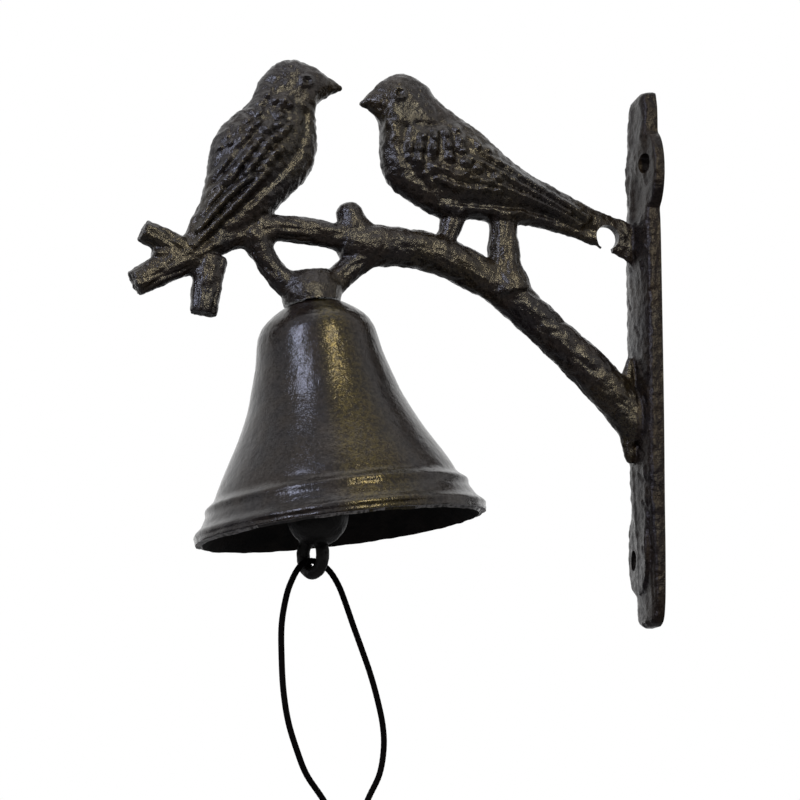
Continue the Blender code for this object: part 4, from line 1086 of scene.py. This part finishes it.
def iron_finish(name, pebbles, pit_shade, roughness, olive_and_gleam_share, sheen, bell_place=None):
    """Sand-cast iron under old lacquer: satin crests, painted shade in its pits and creases, and gold
    specks that are an olive tinge on the arm and a painted gleam on the bell.
    """
    finish, tree, place = new_finish(name)
    patches = place.noise(PATCH_SIZE, 4.0, 0.62)
    specks = place.noise(SPECK_SIZE, 2.0, 0.6)
    fine_specks = place.noise(FINE_SPECK_SIZE, 2.0, 0.6)
    grains = place.cells(GRAIN_SIZE)
    soft = place.noise(SOFT_SIZE, 3.0, 0.6)
    pointed = tree.node("ShaderNodeNewGeometry", output=7)
    # On the bell the gold specks lie in a painted gleam band; on the arm and plate in random olive
    # patches
    olive_and_gleam_areas = painted_gleam_band(place, bell_place) if bell_place else place.noise(TINGE_SIZE).step(0.46, 0.62)
    lacquer = patches.step(0.34, 0.66).mixed(COOL_LACQUER, WARM_LACQUER)
    olive_and_gleam = specks.step(0.15, 0.80) * olive_and_gleam_areas * olive_and_gleam_share
    gold_and_gleam = olive_and_gleam.mixed(lacquer, OLIVE_GOLD_AND_GLEAM)
    rubbed = (pointed.step(0.53, 0.66) * fine_specks.step(0.35, 0.60)).mixed(gold_and_gleam, RUBBED_CREST)
    pebble = specks * 0.5 + fine_specks * 0.5
    # Pebble pits and creases (low crest) fall to the dark pit colour: painted shade
    out_of_pit_shade = (1 - pit_shade) + pit_shade * pebble.step(0.36, 0.60)
    crest = out_of_pit_shade * (0.10 + 0.90 * pointed.step(0.40, 0.50))
    grain = grains * 0.4 + specks * 0.5 + fine_specks * 0.8
    set_surface(tree, {
        "Base Color": crest.mixed(PAINTED_HOLLOW_SHADE, rubbed),
        "Metallic": (0.95 - 0.85 * crest + 0.70 * olive_and_gleam).clamped(),
        "Roughness": roughness + 0.10 * (1 - crest) + 0.08 * soft,
        "Normal": grain.bump(pebbles, 0.8, soft.bump(0.0005, 0.5)),
        "Specular IOR Level": sheen,
    })
    return finish


def worn_edge_finish():
    """Bare bright metal at the bell's lip, where the lacquer has worn off."""
    finish, tree, place = new_finish("worn_lip_iron")
    chips = place.noise(CHIP_SIZE, 3.0, 0.6)
    set_surface(tree, {
        "Base Color": chips.step(0.38, 0.60).mixed(DULL_LIP, BRIGHT_LIP),
        "Metallic": 0.6,
        "Roughness": 0.38 + 0.15 * chips,
        "Normal": chips.bump(0.0002, 0.5),
        "Specular IOR Level": 0.2,
    })
    return finish


def soot_and_shade_finish(name, gloss, depth):
    """Rough dark iron: inside the bell its darkness is painted shade, on the clapper it is the
    clapper's own sooty iron.
    """
    finish, tree, place = new_finish(name)
    soot_and_shade = place.noise(SOOT_AND_SHADE_SIZE, 3.0, 0.6)
    grey = tuple(part * depth for part in GREY_SOOT_AND_SHADE)
    set_surface(tree, {
        # Inside the bell this dark colour stands in for the shade there: painted shade
        "Base Color": soot_and_shade.step(0.35, 0.65).mixed(BLACK_SOOT_AND_SHADE, grey),
        "Roughness": 0.75 - gloss + 0.15 * soot_and_shade,
        "Normal": place.cells(SOOT_AND_SHADE_GRAIN_SIZE).bump(0.00020, 0.6),
        "Specular IOR Level": 0.12 + gloss / 6,
    })
    return finish


def steel_finish():
    """Darkened steel of the bolt, nut, washer and link."""
    finish, tree, place = new_finish("dark_steel")
    dull = place.noise(DULL_SIZE, 4.0, 0.6)
    scratches = place.noise(SCRATCH_SIZE, 2.0, 0.5, (1.0, 1.0, 6.0))
    set_surface(tree, {
        "Base Color": dull.step(0.35, 0.66).mixed(DULL_STEEL, WORN_STEEL),
        "Metallic": 0.85,
        "Roughness": 0.30 + 0.22 * dull,
        "Normal": (scratches + dull).bump(0.0001, 0.5),
    })
    return finish


def cord_finish():
    """Matte black waxed cotton."""
    finish, tree, place = new_finish("black_cord")
    fibres = place.noise(FIBRE_SIZE, 3.0, 0.7)
    wear = place.noise(WEAR_SIZE)
    set_surface(tree, {
        "Base Color": (fibres * wear).step(0.20, 0.50).mixed(BLACK_COTTON, WORN_COTTON),
        "Roughness": 0.78 + 0.15 * fibres,
        "Normal": fibres.bump(0.00006, 0.7),
        "Specular IOR Level": 0.04,
    })
    return finish


def floor_finish():
    """Plain pale floor."""
    finish, tree, place = new_finish("pale_floor")
    cloud = place.noise(CLOUD_SIZE)
    base = cloud.mixed(PALE_FLOOR, PALER_FLOOR)
    set_surface(tree, {"Base Color": base, "Roughness": 0.9, "Normal": cloud.bump(0.0005, 0.1)})
    return finish


def loop_place(out, side, up):
    """A point of the cord's loop, from the centre of the pull eye."""
    along = Vector((-math.sin(CORD_TURN), -math.cos(CORD_TURN), 0))
    across = Vector((math.cos(CORD_TURN), -math.sin(CORD_TURN), 0))
    return along * out + across * side + Vector((0, 0, up))


def even_points(points, spacing):
    """Points at even steps along a polyline, its two ends kept."""
    lengths = [0.0]
    for before, after in zip(points, points[1:]):
        lengths.append(lengths[-1] + (after - before).length)
    count = round(lengths[-1] / spacing)
    even = [points[0]]
    index = 0
    for step in range(1, count):
        target = lengths[-1] * step / count
        while lengths[index + 1] < target:
            index += 1
        share = (target - lengths[index]) / (lengths[index + 1] - lengths[index])
        even.append(points[index].lerp(points[index + 1], share))
    return even + [points[-1]]


def path_length(points):
    return sum((after - before).length for before, after in zip(points, points[1:]))


def add_tube(shape, path, radius):
    """A braided tube along a path, its ridges crossing both ways, with its two ends closed."""
    across = Vector((0, 1, 0))
    rings = []
    travelled = 0.0
    for index, centre in enumerate(path):
        before = path[max(index - 1, 0)]
        after = path[min(index + 1, len(path) - 1)]
        along = (after - before).normalized()
        across = (across - along * across.dot(along)).normalized()
        third = along.cross(across)
        if index:
            travelled += (centre - before).length
        twist = math.tau * travelled / BRAID_PITCH
        end_share = CORD_END_SHARE if index in (0, len(path) - 1) else 1
        ring = []
        for step in range(CORD_SEGMENTS):
            angle = math.tau * step / CORD_SEGMENTS
            strands = BRAID_STRANDS / 2 * angle
            ridge = max(abs(math.cos(strands + twist / 2)), abs(math.cos(strands - twist / 2)))
            reach = (radius - BRAID_DEPTH * (1 - ridge)) * end_share
            ring.append(centre + (across * math.cos(angle) + third * math.sin(angle)) * reach)
        rings.append(ring)
    add_skin(shape, rings)


def cord_piece(name, shape, finish, node):
    mesh = closed_mesh(name, shape)
    mesh.shade_smooth()
    return placed_piece(name, mesh, [finish], node, "clapper_and_cord")


def make_strand(name, route, eye, finish):
    """One strand of the pull cord, from the top of its loop in the pull eye down to the knot."""
    run = [eye + loop_place(*place) for place in smooth_run(route, CORD_STEPS)]
    path = even_points(run, CORD_RING_SPACING)
    shape = bmesh.new()
    add_tube(shape, path, CORD_DIAMETER / 2)
    return cord_piece(name, shape, finish, "pull_cord"), path


def make_knot(eye, finish):
    """The knot: one end wound round both strands, and the two short ends that stick out below it."""
    centre = eye + loop_place(-KNOT_OUT, 0, -KNOT_DROP)
    shape = bmesh.new()
    winding = []
    for step in range(KNOT_WINDING_STEPS + 1):
        share = step / KNOT_WINDING_STEPS
        angle = math.tau * KNOT_TURNS * share
        reach = CORD_DIAMETER * KNOT_PACKING * (1 - KNOT_TAPER_SHARE * abs(2 * share - 1) ** 3)
        height = (0.5 - share) * KNOT_WINDING_HEIGHT
        winding.append(centre + loop_place(reach * math.cos(angle), reach * math.sin(angle), height))
    add_tube(shape, winding, CORD_DIAMETER / 2 * KNOT_CORD_SHARE)
    for side in (-1, 1):
        ends = [tuple(centre + loop_place(side * out, 0, up)) for out, up in KNOT_END_PLACES]
        run = [Vector(place) for place in smooth_run(ends, CORD_STEPS)]
        add_tube(shape, even_points(run, CORD_RING_SPACING), CORD_DIAMETER / 2)
    return cord_piece("cord_knot_wound", shape, finish, "cord_knot")


def box(name, low, high, place=Matrix()):
    shape = bmesh.new()
    bmesh.ops.create_cube(shape, size=1)
    size = Vector(high) - Vector(low)
    middle = (Vector(high) + Vector(low)) / 2
    whole = place @ Matrix.Translation(middle) @ Matrix.Diagonal(size).to_4x4()
    bmesh.ops.transform(shape, matrix=whole, verts=shape.verts)
    return linked_object(name, closed_mesh(name, shape))


def rod(name, radius, low, high, place=Matrix()):
    """A round bar along the local Z axis of a place."""
    shape = bmesh.new()
    bmesh.ops.create_cone(
        shape, cap_ends=True, segments=TURNED_SEGMENTS, radius1=radius, radius2=radius,
        depth=high - low, matrix=place @ Matrix.Translation((0, 0, (low + high) / 2)),
    )
    return linked_object(name, closed_mesh(name, shape))


def bracket_cutters(bell_place, right_bird):
    """What is cut out of the casting: wall face, bell seat, bolt and screw holes, and the notch."""
    wall = (2 * OVERRUN, PLATE_WIDTH, PLATE_HEIGHT)
    seat = (-BOSS_WIDTH, -BOSS_WIDTH, -2 * OVERRUN)
    hole = BOLT_DIAMETER / 2 + CLEARANCE
    cutters = [
        box("wall_face_cut", (0, -PLATE_WIDTH, -PLATE_HEIGHT), wall),
        box("bell_seat_cut", seat, (BOSS_WIDTH, BOSS_WIDTH, 0), bell_place),
        rod("bolt_hole_cut", hole, -OVERRUN, BOLT_DEPTH + CLEARANCE, bell_place),
    ]
    along_x = Matrix.Rotation(math.pi / 2, 4, "Y")
    for side, name in ((-1, "top"), (1, "bottom")):
        screw = Matrix.Translation((0, side * SCREW_OFFSET, -side * SCREW_SPACING / 2)) @ along_x
        cutters.append(rod(name + "_screw_cut", SCREW_HOLE / 2, -PLATE_CREST - OVERRUN, OVERRUN, screw))
    notch = right_bird.point(*NOTCH_SHARE)
    along_y = Matrix.Translation(notch) @ Matrix.Rotation(math.pi / 2, 4, "X")
    cutters.append(rod("notch_cut", TAIL_NOTCH / 2, -BIRD_DEPTH, BIRD_DEPTH, along_y))
    slit = TAIL_NOTCH_SLIT / 2
    low = (notch.x - slit, -BIRD_DEPTH, notch.z - 2 * TAIL_NOTCH)
    cutters.append(box("notch_slit_cut", low, (notch.x + slit, BIRD_DEPTH, notch.z)))
    return cutters


def make_bracket(bell_place, finishes):
    """Plate, bough, twigs and both birds as one fine casting, its plate in a duller finish."""
    shape = bmesh.new()
    add_trunk(shape)
    add_ears(shape)
    add_arm_limb(shape, BOUGH_SHARES, BOUGH_WIDTH, BOUGH_DEPTH)
    for table in (*LIMB_TABLES, ROOT_WEB_SHARES):
        add_arm_limb(shape, table, LIMB_WIDTH, LIMB_DEPTH)
    for table in LEG_TABLES:
        add_arm_limb(shape, table, LEG_WIDTH, LEG_WIDTH)
    for twig in twigs():
        add_twig(shape, *twig)
    add_twig(shape, arm_point(*TWIG_FORK_SHARE), FORK_WEB_ANGLE, FORK_WEB_LENGTH, FORK_WEB_WIDTH)
    add_knob(shape)
    add_boss(shape, bell_place)
    birds = make_bird_sides()
    for bird in birds:
        bird.add(shape)
    mesh = fused_skin(shape, FINE_GRID, FINE_SMOOTHING)
    finish_casting(mesh, birds, bell_place @ Vector((0, 0, BOSS_HEIGHT / 3)))
    mesh.shade_smooth()
    mesh = cut(mesh, bracket_cutters(bell_place, birds[1]))
    kept_in_box(mesh, "bracket")
    mesh.set_sharp_from_angle(angle=SHARP_ANGLE)
    piece = placed_piece("bracket_casting", mesh, finishes, "bracket", "bracket_and_bell")
    for face in mesh.polygons:
        if face.center.x > -PLATE_CREST - WALL_MARGIN:
            face.material_index = 1
    return piece


def fine_turned(name, profile, segments):
    """Spin a profile of radii and heights about local Z, closed on itself or on the axis."""
    shape = bmesh.new()
    verts = [shape.verts.new((radius, 0, height)) for radius, height in profile]
    edges = [shape.edges.new(pair) for pair in zip(verts, verts[1:])]
    if profile[0][0] > 0:
        edges.append(shape.edges.new((verts[-1], verts[0])))
    bmesh.ops.spin(
        shape, geom=verts + edges, cent=(0, 0, 0), axis=(0, 0, 1), angle=math.tau, steps=segments,
        use_merge=True,
    )
    bmesh.ops.remove_doubles(shape, verts=shape.verts, dist=CLEARANCE / 100)
    return closed_mesh(name, shape)


def bead(away):
    """Height of one raised band of the bell, with a groove to each side."""
    groove = BEAD_GROOVE_SHARE * hill(abs(away) - BEAD_GROOVE_PLACE, BEAD_GROOVE_SHARPNESS)
    return BEAD_HEIGHT * (BEAD_RISE_SHARE * hill(away, BEAD_SHARPNESS) - groove)


def bell_profile():
    """Fine outer and inner profiles of the bell, from the bolt hole over the lip and back."""
    run = smooth_run(BELL_PROFILE_SHARES, BELL_FINE_STEPS)
    plain = [(BELL_MOUTH / 2 * radius, -BELL_HEIGHT * depth) for depth, radius in run]
    outer = []
    for (radius, height), (depth, _) in zip(plain, run):
        for level in BEAD_LEVEL_SHARES:
            radius += bead(BELL_HEIGHT * (depth - level) / (BEAD_WIDTH / 2))
        outer.append((radius, height))
    inner = []
    for before, here, after in zip(plain, plain[1:], plain[2:]):
        slope = Vector((after[0] - before[0], after[1] - before[1])).normalized()
        inner.append((here[0] + slope.y * BELL_WALL, here[1] - slope.x * BELL_WALL))
    inner = [place for place in inner if place[1] < -BELL_WALL * INNER_CROWN_SHARE]
    hole = BOLT_DIAMETER / 2 + CLEARANCE
    crown = [(hole, 0), (BELL_CROWN / 4 + hole / 2, 0), (BELL_CROWN / 2, 0)]
    rim = BELL_MOUTH / 2 * LIP_SHARE
    lip = [(rim - BELL_WALL * share, -BELL_HEIGHT) for share in (0, 1 / 4, 1 / 2)]
    roof = [(BELL_CROWN / 2, -BELL_WALL), (hole, -BELL_WALL)]
    return crown + outer + lip + inner[::-1] + roof


def make_bell(bell_place, finishes):
    """The bell with its bands, its skin a little uneven as the sand left it."""
    mesh = fine_turned("bell_casting", bell_profile(), BELL_FINE_SEGMENTS)
    places = vertex_places(mesh)
    normals = vertex_places(mesh, "normal")
    uneven = BELL_WAVE_HEIGHT * rough_field(places, BELL_WAVE)
    pebbles = rough_field(places, PEBBLE_SIZE * BELL_PEBBLE_STRETCH, 3.0)
    uneven += PEBBLE_HEIGHT * BELL_PEBBLE_SHARE * pebbles
    near_lip = smooth_step(-places[:, 2] / BELL_HEIGHT, *ROUGH_LIP_SHARES)
    uneven += near_lip * LIP_LUMP_HEIGHT * rough_field(places, LIP_LUMP, 7.0)
    off_seat = smooth_step(np.hypot(places[:, 0], places[:, 1]) / BELL_CROWN, *SMOOTH_SEAT_SHARES)
    places += normals * (uneven * off_seat)[:, None]
    set_places(mesh, places)
    mesh.transform(bell_place @ Matrix.Translation((0, 0, -CLEARANCE)))
    smooth_between_edges(mesh)
    kept_in_box(mesh, "bell")
    piece = placed_piece("bell_casting", mesh, finishes, "bell", "bracket_and_bell")
    axis = bell_place.to_quaternion() @ Vector((0, 0, 1))
    # Downward faces of the lip take the worn finish; inward faces take the darker inside finish, which
    # is painted shade
    for face in mesh.polygons:
        from_seat = face.center - bell_place.translation
        drop = -from_seat.dot(axis)
        outward = (from_seat + axis * drop).normalized()
        if drop > BELL_HEIGHT * LIP_SHARE and face.normal.dot(axis) < -LIP_FACING_SHARE:
            face.material_index = 2
        elif face.normal.dot(outward) < -INSIDE_FACING_SHARE:
            face.material_index = 1
    return piece


def add_wire_ring(shape, place, half_width, half_length, wire):
    """A closed ring of round wire, standing in the XZ plane of a place with its hole along Y."""
    rings = []
    for step in range(RING_STEPS):
        angle = math.tau * step / RING_STEPS
        centre = Vector((half_width * math.cos(angle), 0, half_length * math.sin(angle)))
        outward = Vector((half_length * math.cos(angle), 0, half_width * math.sin(angle))).normalized()
        ring = []
        for index in range(CORD_SEGMENTS):
            turn = math.tau * index / CORD_SEGMENTS
            offset = outward * math.cos(turn) + Vector((0, math.sin(turn), 0))
            ring.append(place @ (centre + offset * wire / 2))
        rings.append(ring)
    add_skin(shape, rings, closed=True)


def add_turned(shape, place, profile):
    mesh = fine_turned("turned", profile, TURNED_SEGMENTS)
    mesh.transform(place)
    shape.from_mesh(mesh)
    bpy.data.meshes.remove(mesh)


def make_clapper(pin, finish):
    """Shank, ball and two eyes as one small casting."""
    shape = bmesh.new()
    place = Matrix.Translation(pin)
    top = place @ Matrix.Translation((0, 0, -CLAPPER_EYE_RADIUS))
    add_wire_ring(shape, top, CLAPPER_EYE_RADIUS, CLAPPER_EYE_RADIUS, CLAPPER_EYE_WIRE)
    low = Matrix.Translation((-PULL_EYE_SHIFT, 0, -CLAPPER_DROP - PULL_EYE_DROP + PULL_EYE_RISE))
    turned_eye = place @ low @ Matrix.Rotation(-PULL_EYE_TURN, 4, "Z")
    add_wire_ring(shape, turned_eye, PULL_EYE_WIDTH / 2, PULL_EYE_HEIGHT / 2, PULL_EYE_WIRE)
    shank = CLAPPER_SHANK / 2
    ball = CLAPPER_BALL / 2
    start = -2 * CLAPPER_EYE_RADIUS
    narrow, wide = (shank * share for share in CLAPPER_NECK_SHARES)
    profile = [(0, start), (narrow, start), (wide, start - shank)]
    first = math.asin(shank / ball)
    last = math.pi - math.asin(PULL_EYE_WIRE / 2 / ball)
    for step in range(BALL_FINE_STEPS + 1):
        angle = first + (last - first) * step / BALL_FINE_STEPS
        profile.append((ball * math.sin(angle), ball * math.cos(angle) - CLAPPER_DROP))
    profile.append((0, -ball - CLAPPER_DROP))
    add_turned(shape, place, profile)
    mesh = fused_skin(shape, CLAPPER_GRID, CLAPPER_SMOOTHING)
    places = vertex_places(mesh)
    uneven = LUMP_HEIGHT * CLAPPER_ROUGH_SHARE * rough_field(places, LUMP_SIZE)
    uneven += PEBBLE_HEIGHT * CLAPPER_ROUGH_SHARE * rough_field(places, PEBBLE_SIZE)
    set_places(mesh, places + vertex_places(mesh, "normal") * uneven[:, None])
    mesh.shade_smooth()
    kept_in_box(mesh, "clapper")
    return placed_piece("clapper_casting", mesh, [finish], "clapper", "clapper_and_cord")


def make_link(pin, finish):
    """Oval wire link that stands across both eyes."""
    shape = bmesh.new()
    turn = Matrix.Rotation(math.pi / 2, 4, "Z")
    place = Matrix.Translation(pin - Vector((0, 0, LINK_LENGTH / 2))) @ turn
    add_wire_ring(shape, place, LINK_WIDTH / 2, LINK_LENGTH / 2, LINK_WIRE)
    mesh = closed_mesh("link_wire", shape)
    mesh.shade_smooth()
    return placed_piece("link_wire", mesh, [finish], "clapper_link", "link")


def make_eye_bolt(bell_place, finish):
    """Shank up into the boss, and a closed eye below the nut."""
    shape = bmesh.new()
    eye = bell_place @ Matrix.Translation((0, 0, -EYE_DROP))
    add_wire_ring(shape, eye, EYE_RADIUS, EYE_RADIUS, EYE_WIRE)
    radius = BOLT_DIAMETER / 2
    root = -EYE_DROP + EYE_RADIUS
    tip = radius * BOLT_TIP_SHARE
    profile = [(0, BOLT_DEPTH), (tip, BOLT_DEPTH), (radius, BOLT_DEPTH - radius * BOLT_CHAMFER_SHARE)]
    profile += [(radius, root + EYE_WIRE), (EYE_WIRE / 2 * BOLT_ROOT_SHARE, root), (0, root)]
    add_turned(shape, bell_place, profile)
    mesh = fused_skin(shape, CLAPPER_GRID * BOLT_GRID_SHARE, BOLT_SMOOTHING)
    mesh.shade_smooth()
    kept_in_box(mesh, "eye_bolt")
    return placed_piece("eye_bolt_forged", mesh, [finish], "eye_bolt", "bracket_and_bell")


def make_washer(bell_place, finish):
    """Round washer with soft edges."""
    hole = BOLT_DIAMETER / 2 + CLEARANCE
    rim = WASHER_DIAMETER / 2
    soft = WASHER_THICKNESS * WASHER_EDGE_SHARE
    profile = (
        (hole, 0), (rim - soft, 0), (rim, -soft), (rim, soft - WASHER_THICKNESS),
        (rim - soft, -WASHER_THICKNESS), (hole, -WASHER_THICKNESS),
    )
    mesh = fine_turned("washer_turned", profile, TURNED_SEGMENTS)
    mesh.transform(bell_place @ Matrix.Translation((0, 0, -2 * CLEARANCE - BELL_WALL)))
    smooth_between_edges(mesh)
    kept_in_box(mesh, "crown_washer")
    return placed_piece(
        "washer_turned", mesh, [finish], "crown_washer", "bracket_and_bell",
    )


def make_nut(bell_place, finish):
    """A hexagon nut with turned-off corners."""
    flat = math.pi / 6
    half = NUT_ACROSS_FLATS / 2
    outer = half / math.cos(flat)
    bore = BOLT_DIAMETER / 2 + CLEARANCE
    soft = NUT_HEIGHT * NUT_EDGE_SHARE
    place = bell_place @ Matrix.Translation((0, 0, -3 * CLEARANCE - BELL_WALL - WASHER_THICKNESS))
    rings = []
    for radius, height, hexagon in (
        (half, 0, False), (outer, -soft, True), (outer, soft - NUT_HEIGHT, True),
        (half, -NUT_HEIGHT, False), (bore, -NUT_HEIGHT, False), (bore, 0, False),
    ):
        ring = []
        for index in range(TURNED_SEGMENTS):
            angle = math.tau * index / TURNED_SEGMENTS
            reach = radius
            if hexagon:
                reach *= math.cos(flat) / math.cos((angle % (2 * flat)) - flat)
            ring.append(place @ Vector((reach * math.cos(angle), reach * math.sin(angle), height)))
        rings.append(ring)
    shape = bmesh.new()
    add_skin(shape, rings, closed=True)
    mesh = closed_mesh("nut_hexagon", shape)
    smooth_between_edges(mesh)
    kept_in_box(mesh, "crown_nut")
    return placed_piece("nut_hexagon", mesh, [finish], "crown_nut", "bracket_and_bell")


def make_camera():
    side = math.sin(CAMERA_SIDE_ANGLE) * math.cos(CAMERA_RISE_ANGLE)
    front = math.cos(CAMERA_SIDE_ANGLE) * math.cos(CAMERA_RISE_ANGLE)
    back = Vector((-side, -front, -math.sin(CAMERA_RISE_ANGLE)))
    data = bpy.data.cameras.new("camera")
    data.lens = CAMERA_LENS
    data.sensor_width = CAMERA_SENSOR
    camera = linked_object("camera", data)
    camera.location = Vector(CAMERA_AIM) + back * CAMERA_DISTANCE
    camera.rotation_mode = "QUATERNION"
    camera.rotation_quaternion = (-back).to_track_quat("-Z", "Y")
    bpy.context.scene.camera = camera


def make_lamp(name, place, aim, size, power, tint):
    data = bpy.data.lights.new(name, "AREA")
    data.shape = "RECTANGLE"
    data.size, data.size_y = size
    data.energy = power
    data.color = tint
    lamp = linked_object(name, data)
    lamp.location = place
    lamp.rotation_mode = "QUATERNION"
    lamp.rotation_quaternion = (Vector(aim) - Vector(place)).to_track_quat("-Z", "Y")


def make_stage():
    """Pale floor well below the bell, and a world that is white behind it."""
    shape = bmesh.new()
    bmesh.ops.create_grid(shape, x_segments=1, y_segments=1, size=FLOOR_SIZE / 2)
    floor = linked_object("floor", closed_mesh("floor", shape))
    floor.data.materials.append(floor_finish())
    floor.location = (CAMERA_AIM[0], 0, solids_box[0].z - FLOOR_DROP)
    world = bpy.data.worlds.new("studio")
    world.use_nodes = True
    world.node_tree.nodes.clear()
    tree = Signal(world.node_tree)
    white = tree.node("ShaderNodeBackground", {}, {"Color": WHITE, "Strength": 1.0})
    room = tree.node("ShaderNodeBackground", {}, {"Color": ROOM_TINT, "Strength": ROOM_LIGHT})
    seen, mirrored, through = (
        tree.node("ShaderNodeLightPath", output=ray)
        for ray in ("Is Camera Ray", "Is Glossy Ray", "Is Transmission Ray")
    )
    share = (seen + mirrored + through).clamped()
    mixed = tree.node("ShaderNodeMixShader", {}, {0: share, 1: room, 2: white})
    tree.node("ShaderNodeOutputWorld", {}, {"Surface": mixed})
    bpy.context.scene.world = world


def main():
    boss_seat = arm_point(BOSS_OUT_SHARE, 1) - Vector((0, 0, BOSS_DROP))
    bell_place = Matrix.Translation(boss_seat) @ Matrix.Rotation(-BELL_TILT, 4, "Y")
    link_pin = bell_place @ Vector((0, 0, -EYE_DROP))
    link_pin.z += -EYE_RADIUS + EYE_WIRE / 2 + LINK_WIRE / 2 + CLEARANCE
    link_reach = LINK_LENGTH - LINK_WIRE / 2 - CLAPPER_EYE_WIRE / 2 - CLEARANCE
    clapper_pin = link_pin - Vector((0, 0, link_reach))
    eye = clapper_pin - Vector((0, 0, CLAPPER_DROP + PULL_EYE_DROP))

    make_camera()
    cord = cord_finish()
    knot = make_knot(eye, cord)
    peak = CORD_ROUTE.index(max(CORD_ROUTE, key=lambda place: place[2]))
    left, left_path = make_strand("pull_cord_left", CORD_ROUTE[peak::-1], eye, cord)
    right, right_path = make_strand("pull_cord_right", CORD_ROUTE[peak:], eye, cord)
    path_length(left_path)
    path_length(right_path)

    iron = iron_finish("cast_iron", *ARM_IRON)
    plate_iron = iron_finish("plate_iron", *PLATE_IRON)
    bell_iron = iron_finish("bell_iron", *BELL_IRON, bell_place)
    # The bell's inside finish is darker than its outside: painted shade
    bell_finishes = (bell_iron, soot_and_shade_finish("bell_inside_painted_shade", *BELL_INSIDE_PAINTED_SHADE), worn_edge_finish())
    steel = steel_finish()
    make_bracket(bell_place, (iron, plate_iron))
    make_bell(bell_place, bell_finishes)
    make_clapper(clapper_pin, soot_and_shade_finish("clapper_iron", *CLAPPER_SOOT))
    make_link(link_pin, steel)
    make_eye_bolt(bell_place, steel)
    make_washer(bell_place, steel)
    make_nut(bell_place, steel)
    make_stage()
    for lamp in LAMPS:
        make_lamp(*lamp)

    bpy.context.scene.view_settings.view_transform = "Standard"
    bpy.context.view_layer.update()


main()
